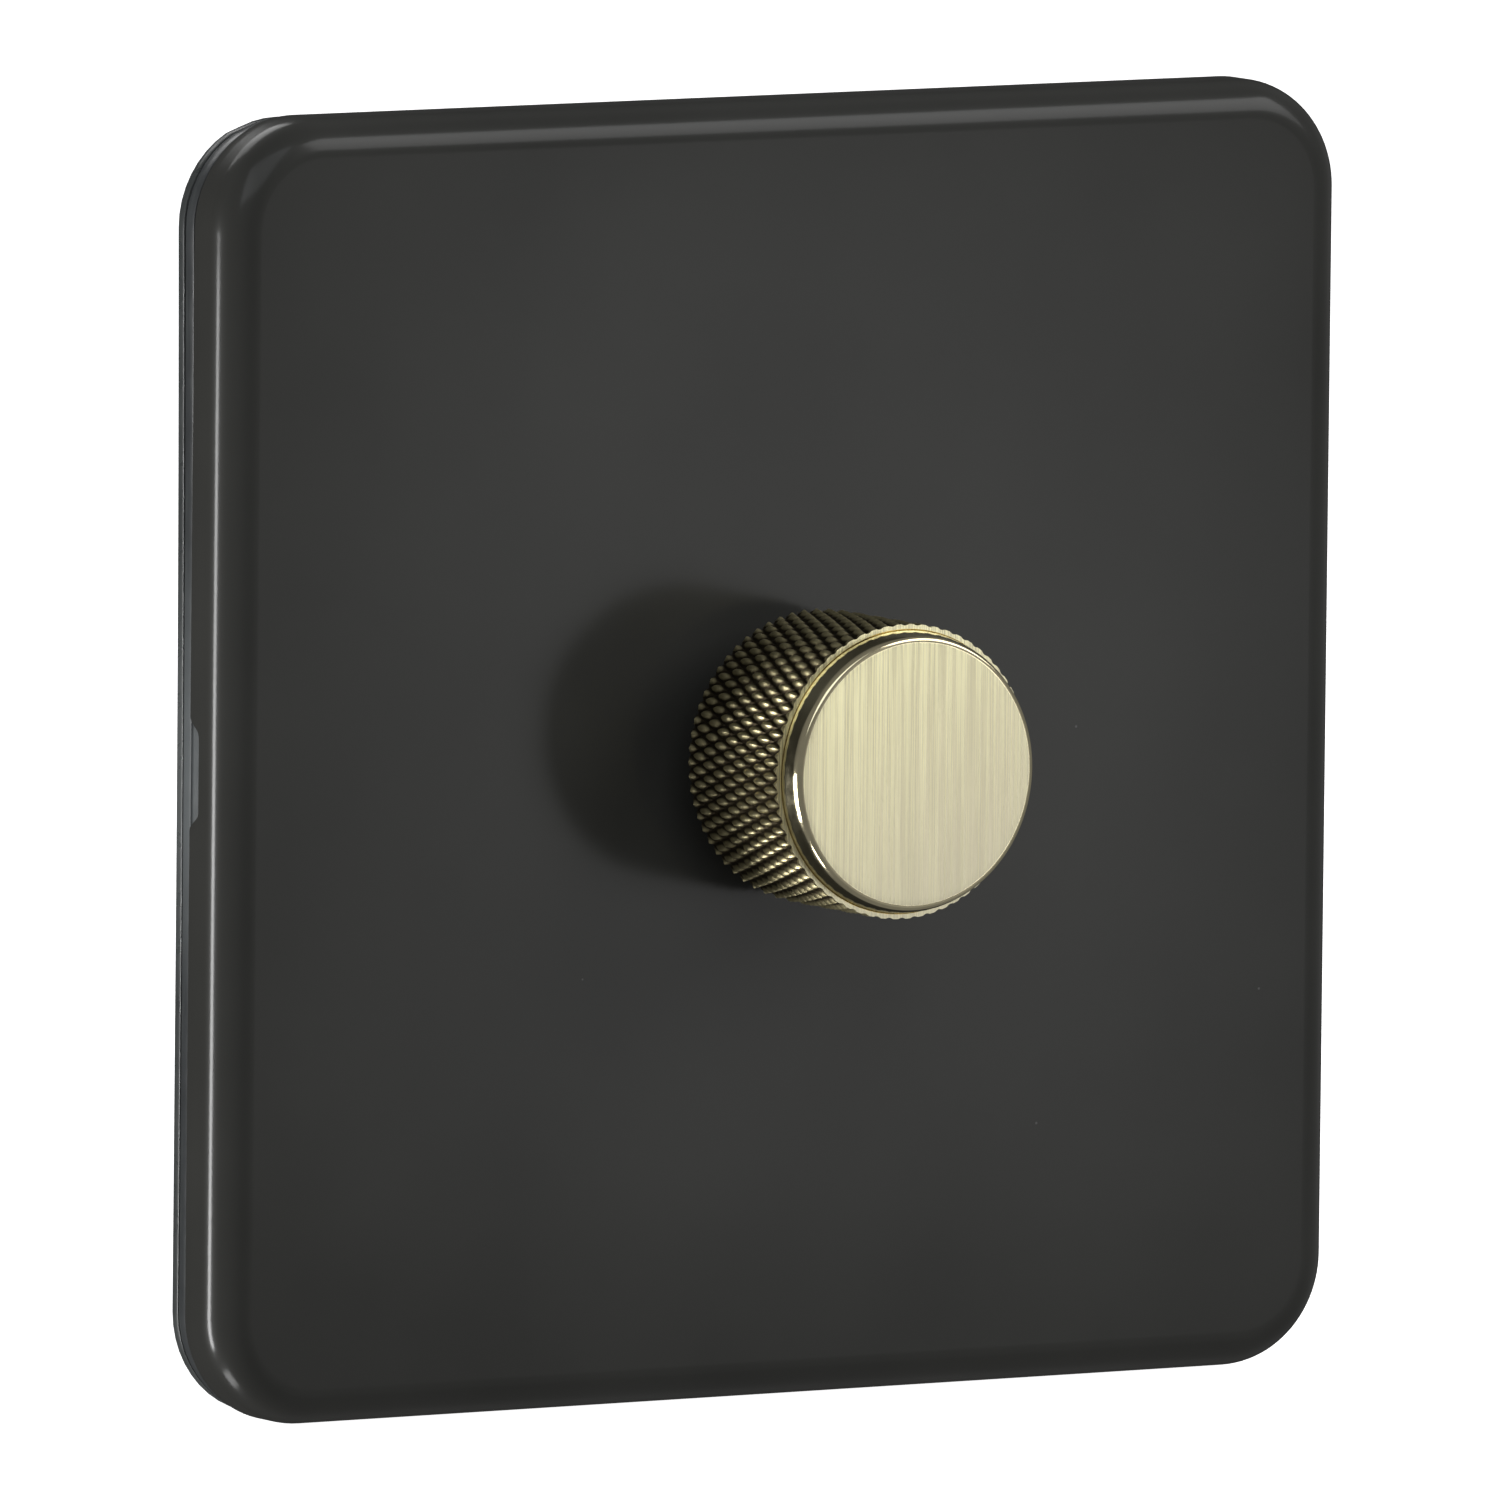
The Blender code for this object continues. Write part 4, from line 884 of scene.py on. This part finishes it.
def make_mounting_frame():
    """The moulded frame: flange, wall with snap lugs, ribbed web with its windows and slots."""
    low, high = wall_box("mounting_frame")
    back, wall_top = low.z, high.z
    flange_top, web_top = back + 1.1, back + 1.5
    cover_half = wall_box("front_plate")[1].x
    wall_half = cover_half - FRAME_INSET
    flange = prism(warped(side_points(high.x, FLANGE_CORNER), 0.22), back, flange_top)
    wall = block((2 * wall_half, 2 * wall_half), back + 0.2, wall_top, corner=COVER_CORNER - FRAME_INSET)
    pocket = block((2 * wall_half - 4, 2 * wall_half - 4), web_top, wall_top + 3, corner=4)
    body = carved(joined(flange, eased(wall, 0.9, 4)), pocket)
    body = joined(body, *snap_lugs(wall_half, flange_top), *web_ribs(web_top))
    body = joined(body, pry_ledge(flange_top, cover_half, wall_half))
    make_part("mounting_frame", eased(carved(body, *web_openings(back, web_top, wall_top)), 0.12))


def make_wall_gasket():
    """The clear flat seal, a little warped at the upper left."""
    low, high = wall_box("wall_gasket")
    outline = warped(side_points(high.x, FLANGE_CORNER), 0.28)
    cuts = [block((52, 64), -1, 2, (0, 3), 2)]
    for side in (-1, 1):
        middle = side * centre_of("fixing_screw_right")[0]
        cuts.append(prism(upright_slot(4.6, 7.6, (middle, 0)), -1, 2))
    make_part("wall_gasket", eased(carved(prism(outline, low.z, high.z), *cuts), 0.13))


# ---- screws


def make_screw(node, head_height, shank, pitch, facing, domed=False):
    """A slotted machine screw with a rolled thread. Facing is 1 for a head towards the room, and -1 for one
    driven from behind. Heights are first measured from the tip."""
    low, high = wall_box(node)
    at = centre_of(node)
    head, length = (high.x - low.x) / 2, high.z - low.z
    seat = length - head_height
    groove = pitch * 0.5
    start, stop = shank * 0.6, seat - pitch
    steps = round((stop - start) / pitch * 6)
    threaded = [(shank, height) for height in spaced(start, stop, steps)]
    if domed:
        crown = [(head * math.cos(a), seat + head_height * (0.35 + 0.65 * math.sin(a)))
                 for a in (math.radians(10 * i) for i in range(9))]
    else:
        crown = softened([(head, seat + 0.4), (head, length), (0, length)], 0.3)[:-1]
    profile = [(0, 0), (shank * 0.55, 0), (shank * 0.8, shank * 0.3), *threaded, (shank * 0.93, stop + 0.2),
               (shank * 0.93, seat), (head - 0.12, seat), (head, seat + 0.12), *crown, (0, length)]

    def thread(radius, height, angle):
        if radius < shank * 0.99 or not start - 0.01 <= height <= stop + 0.01:
            return 0.0
        fade = min(1.0, (height - start) / pitch + 0.3, (stop - height) / pitch)
        return groove * fade * zigzag(height / pitch - angle / TURN)

    slot_width, slot_floor = head * 0.32, length - head_height * 0.5
    slot = block((head * 3, slot_width), slot_floor, length + 1)
    bm = carved(turned(profile, segments=36, relief=thread), slot)
    tip = low.z if facing > 0 else high.z
    bm.transform(Matrix(((1, 0, 0, at[0]), (0, facing, 0, at[1]), (0, 0, facing, tip), (0, 0, 0, 1))))
    make_part(node, bm, sharp=40)


def make_screws():
    for where in ("left", "right"):
        make_screw(f"fixing_screw_{where}", 2.1, 1.75, 0.6, 1, domed=True)
        make_screw(f"transistor_screw_{where}", 1.6, 1.25, 0.45, -1)
    for i in range(1, 5):
        make_screw(f"case_screw_{i}", 1.8, 1.25, 0.8, -1)
    for i in range(1, 4):
        make_screw(f"terminal_screw_{i}", 2.0, 1.75, 0.6, -1)
    make_screw("earth_screw", 1.8, 1.7, 0.6, -1)


# ---- bush, nut, washer and spindle


def make_bush():
    """The threaded bush, with a chamfered mouth and a flange behind."""
    low, high = wall_box("threaded_bush")
    flange, bore, outer, pitch = high.x, 3.08, 5.0, 0.75
    flange_top, tip = low.z + 1.0, high.z
    first, last = flange_top + 0.6, tip - 0.5
    count = round((last - first) / pitch * 8)
    barrel = [(outer, height) for height in spaced(first, last, count)]
    profile = [(bore, low.z + 0.2), (bore + 0.2, low.z), (flange - 0.2, low.z), (flange, low.z + 0.2),
               (flange, flange_top - 0.2), (flange - 0.2, flange_top), (outer - 0.3, flange_top), *barrel,
               (outer - 0.35, tip - 0.05), (outer - 0.45, tip), (bore + 0.35, tip), (bore, tip - 0.35)]

    def thread(radius, height, angle):
        return 0.36 * zigzag(height / pitch - angle / TURN) if abs(radius - outer) <= 0.01 else 0.0

    make_part("threaded_bush", turned(profile, segments=96, relief=thread), sharp=50)


def make_nut():
    """The hexagon nut, chamfered at its corners and round its bore."""
    low, high = wall_box("bush_nut")
    corner, bore = (high.x - low.x) / 2, 5.1
    flats, widest = corner * math.cos(math.radians(30)), corner + 0.05
    crown = turned([(0, low.z), (flats - 0.1, low.z), (widest, low.z + 0.55), (widest, high.z - 0.55),
                    (flats - 0.1, high.z), (0, high.z)], segments=96)
    hole = turned([(0, low.z - 1), (bore + 1.4, low.z - 1), (bore, low.z + 0.4), (bore, high.z - 0.4),
                   (bore + 1.4, high.z + 1), (0, high.z + 1)], segments=96)
    nut = combined("INTERSECT", prism(arc(corner, 0, 360, 6)[:-1], low.z, high.z), [crown])
    make_part("bush_nut", eased(carved(nut, hole), 0.06), sharp=30)


def make_washer():
    """The lock washer, with teeth round its rim."""
    low, high = wall_box("lock_washer")
    outer, root, teeth = high.x, high.x - 0.8, 12
    rim = [arc(outer if k in (1, 2) else root, 360 * (i + k / 4) / teeth, 0, 1)[0]
           for i in range(teeth) for k in range(4)]
    disc = prism(softened(rim, 0.2, 2, closed=True), low.z, high.z)
    make_part("lock_washer", eased(carved(disc, rod(5.2, low.z - 1, high.z + 1)), 0.08))


def make_spindle():
    """The brass spindle: a splined and split tip, a clip groove, and a flat at the rear."""
    low, high = wall_box("spindle")
    radius, tip = 3.0, high.z
    clip_low, clip_high = wall_box("spindle_circlip")
    groove_low, groove_high, waist = clip_low.z - 0.05, clip_high.z + 0.05, radius - 0.6
    spline_start, slit_start, teeth = 11.0, 12.5, 18
    spline = [(radius, height) for height in spaced(spline_start + 0.3, tip - 0.4, 12)]
    profile = [(0, low.z), (radius - 0.3, low.z), (radius, low.z + 0.3), (radius, groove_low),
               (waist, groove_low), (waist, groove_high), (radius, groove_high), (radius, spline_start),
               *spline, (radius - 0.4, tip), (0, tip)]

    def teeth_of(reach, height, angle):
        if reach < radius - 0.01 or height <= spline_start:
            return 0.0
        return 0.3 * zigzag(teeth * angle / TURN)

    body = turned(profile, segments=teeth * 8, relief=teeth_of)
    slit = block((10, 0.9), slit_start, tip + 1)
    flat_top = wall_box("pot_rotor")[1].z + 1.8
    flat = block((10, 4), low.z - 1, flat_top, (0, 4))
    make_part("spindle", carved(body, slit, flat), "knob", sharp=40)


def make_circlip():
    """The E-shaped clip: three inner lobes grip the groove."""
    low, high = wall_box("spindle_circlip")
    ring = arc(high.x, -65, 245, 64)
    lobe, gap = 2.5, 3.3
    for radius, start, end in ((lobe, 245, 215), (gap, 210, 110), (lobe, 105, 75), (gap, 70, -30),
                               (lobe, -35, -65)):
        ring += arc(radius, start, end, 8)
    make_part("spindle_circlip", eased(prism(ring, low.z, high.z), 0.06), "knob")


# ---- heatsink and earth


def make_heatsink():
    """The aluminium plate with its earth tab, stamped with shallow stiffening grooves."""
    low, high = wall_box("heatsink_plate")
    width, height = high.x - low.x, -2 * low.y
    plate = block((width, height), low.z, high.z, corner=3)
    earth = centre_of("earth_block")
    tab = block((10, 9), low.z, high.z, (earth[0], earth[1] - 1), 1.2)
    cuts = [rod(5.2, low.z - 1, high.z + 1, segments=64), rod(1.35, low.z - 1, high.z + 1, earth)]
    case_screws = [f"case_screw_{i}" for i in range(1, 5)]
    for node in (*case_screws, "transistor_screw_left", "transistor_screw_right"):
        cuts.append(rod(1.35, low.z - 1, high.z + 1, centre_of(node)))
    for side in (-1, 1):
        cuts.append(block((30, 1.0), high.z - 0.35, high.z + 1, (0, side * 13), 0.45))
        cuts.append(block((26, 1.0), high.z - 0.35, high.z + 1, (0, side * 22), 0.45))
    make_part("heatsink_plate", eased(carved(joined(plate, tab), *cuts), 0.12))


def make_earth_clamp():
    """The earth block: a hole across it for the wire, and the screw's thread from behind."""
    low, high = wall_box("earth_block")
    at = centre_of("earth_block")
    wire_height = high.z - 3.4
    body = block((high.x - low.x, high.y - low.y), low.z, high.z, at, 0.5)
    way = rod(1.6, at[0] - 10, at[0] + 10, segments=40)
    way.transform(Matrix(((0, 0, 1, 0), (0, 1, 0, at[1]), (1, 0, 0, wire_height), (0, 0, 0, 1))))
    thread = flared(2.9, 1.85, low.z - 1, low.z + 0.35, wire_height, at)
    make_part("earth_block", eased(carved(body, way, thread), 0.15))


def make_earth_spring():
    """The sprung strip, bent with round corners."""
    low, high = wall_box("earth_spring")
    strip, foot, tip = 0.3, low.z, high.z
    start, end, reach = high.y - 2.4, high.y, low.y
    outer = softened([(start, foot), (end, foot), (end, tip - 1.3), (start, tip), (reach, tip)], 0.7, 5)
    inner = softened([(reach, tip - strip), (start - 0.1, tip - strip), (end - strip, tip - 1.4),
                      (end - strip, foot + strip), (start, foot + strip)], 0.5, 5)
    strip_shape = standing(prism(outer + inner, low.x, high.x))
    make_part("earth_spring", eased(strip_shape, 0.05))


# ---- terminals and case


CASE_CORNER = 3.0
CASE_WALL = 1.6
WIRE_LOW, WIRE_HIGH = -17.3, -12.1


def make_terminals():
    """The moulding and its three box clamps, with the mouths of the wire ways opened out."""
    low, high = wall_box("terminal_block")
    middle = centre_of("terminal_block")[1]
    body = block((high.x - low.x, high.y - low.y), low.z, high.z, (0, middle), 0.5)
    cuts = []
    for i in range(1, 4):
        cage = f"terminal_cage_{i}"
        cage_low, cage_high = wall_box(cage)
        at = centre_of(cage)
        size = (cage_high.x - cage_low.x, cage_high.y - cage_low.y)
        cuts.append(block((size[0] + 0.5, size[1] + 0.5), cage_low.z - 0.3, high.z + 1, at))
        cuts.append(block((5.6, 20), WIRE_LOW - 0.2, WIRE_HIGH + 0.2, (at[0], at[1] - 8)))
        cuts.append(rod(3.1, low.z - 1, cage_low.z, at))
        clamp = block(size, cage_low.z, cage_high.z, at, 0.7)
        opening = block((5.2, 30), WIRE_LOW, WIRE_HIGH, at)
        thread = rod(1.9, cage_low.z - 1, WIRE_LOW + 2, at)
        teeth = [block((5.2, 0.35), WIRE_HIGH - 0.1, WIRE_HIGH + 0.3, (at[0], at[1] + 1.2 * k))
                 for k in (-1, 0, 1)]
        make_part(cage, eased(carved(clamp, opening, thread, *teeth), 0.1))
    for i in (-1, 1):
        cuts.append(block((0.8, 20), low.z - 1, low.z + 0.5, (i * 5.25, middle)))
    make_part("terminal_block", eased(carved(body, *cuts), 0.12))


def make_case():
    """The moulded case: filleted walls, screw posts, driver holes, wire mouths, vents and gripping ribs."""
    low, high = wall_box("module_case")
    half_x, half_y, back, top = high.x, high.y, low.z, high.z
    outer = eased(block((2 * half_x, 2 * half_y), back, top, corner=CASE_CORNER), 0.7, 4)
    hollow = (2 * (half_x - CASE_WALL), 2 * (half_y - CASE_WALL))
    body = carved(outer, block(hollow, back + CASE_WALL, top + 1, corner=1.5))
    corners = [centre_of(f"case_screw_{i}") for i in range(1, 5)]
    body = joined(body, *[rod(3.3, back + CASE_WALL - 0.5, top - 0.4, at) for at in corners])
    cuts = []
    for at in corners:
        cuts.append(rod(1.6, back - 1, top + 1, at))
        cuts.append(flared(3.4, 2.7, back - 0.5, back + 0.3, back + 2.6, at))
    for i in range(1, 4):
        at = centre_of(f"terminal_screw_{i}")
        cuts.append(flared(4.2, 3.2, back - 0.5, back + 0.5, back + CASE_WALL + 1, at))
        for width, depth, spare in ((5.8, 4, 0.3), (7.0, 0.8, 0.9)):
            cuts.append(block((width, depth), WIRE_LOW - spare, WIRE_HIGH + spare, (at[0], -half_y)))
    for i in range(7):
        cuts.append(block((1.6, 4), -17, -6, ((i - 3) * 4, half_y)))
    for side in (-1, 1):
        for i in range(11):
            cuts.append(block((0.9, 0.9), back + 4, top - 3, (side * half_x, (i - 5) * 3.2)))
    cuts.append(block((30, 22), back - 1, back + 0.35, (0, 7.5), 1.5))
    for i in range(3):
        cuts.append(block((1.2, 9), back - 1, back + 0.3, (half_x - 5 - 2.2 * i, -8), 0.55))
    make_part("module_case", eased(carved(body, *cuts), 0.12))


# ---- springs


def coil(radius, wire, turns, low, high, flat=0.75, around=40, sides=12):
    """A coil spring of round wire, with its first and last turns wound close."""
    count = round(turns * around)
    closing = 2 * wire * flat
    free = turns - 2 * flat
    rings = []
    for i in range(count + 1):
        turn = i / around
        angle = TURN * turn
        if turn < flat:
            height = low + closing * turn / flat
        elif turn > turns - flat:
            height = high - closing * (turns - turn) / flat
        else:
            height = low + closing + (high - low - 2 * closing) * (turn - flat) / free
        ring = []
        for k in range(sides):
            swing = TURN * k / sides
            reach = radius + wire * math.cos(swing)
            ring.append((reach * math.cos(angle), reach * math.sin(angle), height + wire * math.sin(swing)))
        rings.append(ring)
    return capped(rings)


def make_switch_spring():
    """The return spring, wound at rest; nothing here closes it up as the cam comes down on it."""
    low, high = wall_box("switch_spring")
    wire = 0.3
    piece = make_part("switch_spring", coil(3.4, wire, 5.5, low.z + wire, high.z - wire))
    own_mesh(piece)


def make_carried_over():
    """CAD nodes whose shape stays get the finish of their slot."""
    for node, obj in frame["nodes"].items():
        if obj.hide_render:
            continue
        obj.data.materials.clear()
        obj.data.materials.append(finish_for(SLOT_OF[node]))


# ---- stage, lights and camera


TARGET = Vector((0, -0.012, 0))
FLOOR_REACH = 12.0
FLOOR_GAP = 0.0005


def make_stage():
    """A plain white floor just under the object, seen only by the camera."""
    bm = bmesh.new()
    bmesh.ops.create_circle(bm, cap_ends=True, radius=FLOOR_REACH, segments=64)
    floor = placed("floor", mesh_of("floor", bm))
    floor.location = (0, 0, cad_low.z - FLOOR_GAP)
    floor.visible_diffuse = floor.visible_glossy = floor.visible_shadow = floor.visible_transmission = False
    surface = Surface("white_floor", (0.9, 0.9, 0.9), 0.9)
    surface.shade(Emission_Color=(1, 1, 1, 1), Emission_Strength=1.0)
    floor.data.materials.append(surface.material)


def make_world():
    """White to the camera. The object sees it soft and dim, and dimmer still behind the wall."""
    world = bpy.data.worlds.new("studio")
    bpy.context.scene.world = world
    world.use_nodes = True
    nodes = Nodes(world.node_tree)
    nodes.tree.nodes.clear()
    depth = nodes.parts(nodes.add("ShaderNodeTexCoord").outputs["Generated"])["Y"]
    glow = nodes.ramp(depth, 0.25, 0.70, 0.26, 0.05)
    soft = nodes.add("ShaderNodeBackground", Strength=glow).outputs[0]
    white = nodes.add("ShaderNodeBackground", Color=(1, 1, 1, 1)).outputs[0]
    seen = nodes.add("ShaderNodeLightPath").outputs["Is Camera Ray"]
    chosen = nodes.add("ShaderNodeMixShader", i0=seen, i1=soft, i2=white).outputs[0]
    nodes.add("ShaderNodeOutputWorld", Surface=chosen)


def add_light(name, azimuth, elevation, distance, size, glow, color=(1, 1, 1)):
    """A rectangular softbox aimed at the object. Azimuth 0 is straight in front and grows to the right,
    and glow is how bright its surface looks."""
    a, e = math.radians(azimuth), math.radians(elevation)
    away = Vector((math.sin(a) * math.cos(e), -math.cos(a) * math.cos(e), math.sin(e)))
    light = bpy.data.lights.new(name, "AREA")
    light.shape = "RECTANGLE"
    light.size, light.size_y = size
    light.energy = glow * math.pi * size[0] * size[1]
    light.color = color
    lamp = placed(name, light)
    lamp.location = TARGET + away * distance
    lamp.rotation_mode = "QUATERNION"
    lamp.rotation_quaternion = (-away).to_track_quat("-Z", "Y")
    lamp.visible_camera = False


def make_lights():
    add_light("left_strip", -107, -17, 1.2, (0.21, 0.58), 26.0)
    add_light("low_left", -97, -57, 1.2, (0.4, 0.3), 9.0)
    add_light("left_fill", -25, 38, 1.2, (1.0, 0.8), 1.5, (0.92, 0.96, 1.0))
    add_light("high_behind", -175, 45, 1.2, (0.8, 0.5), 3.0)
    add_light("upper_panel", 45, 32, 0.9, (0.6, 0.48), 3.1)
    add_light("front_panel", 31, -6, 0.5, (0.30, 0.46), 0.12)
    add_light("front_centre", 32, -5, 0.35, (0.07, 0.085), 2.5)


def make_camera():
    """The main view: from the left and a little above, with a long lens."""
    azimuth, elevation, roll = math.radians(31.23), math.radians(6.0), 0.0105
    distance, view_width, sensor = 2.435, 0.10135, 36.0
    shift_right, shift_up = -0.000098, -0.000416
    origin = Vector((0, -wall_box("front_plate")[0].z * MM, 0))
    back = Vector((-math.sin(azimuth) * math.cos(elevation), -math.cos(azimuth) * math.cos(elevation),
                   math.sin(elevation)))
    level = Vector((math.cos(azimuth), -math.sin(azimuth), 0))
    upright = back.cross(level)
    right = level * math.cos(roll) + upright * math.sin(roll)
    up = upright * math.cos(roll) - level * math.sin(roll)
    place = origin + right * shift_right + up * shift_up + back * distance
    data = bpy.data.cameras.new("camera")
    data.sensor_width = sensor
    data.lens = sensor * distance / view_width
    data.clip_start, data.clip_end = 0.01, 100
    camera = placed("camera", data)
    camera.matrix_world = Matrix.Translation(place) @ Matrix((right, up, back)).transposed().to_4x4()
    bpy.context.scene.camera = camera
    bpy.context.scene.view_settings.view_transform = "Standard"


make_cover()
make_knob()
make_mounting_frame()
make_wall_gasket()
make_screws()
make_bush()
make_nut()
make_washer()
make_spindle()
make_circlip()
make_heatsink()
make_earth_clamp()
make_earth_spring()
make_terminals()
make_case()
make_switch_spring()
make_carried_over()
make_stage()
make_world()
make_lights()
make_camera()
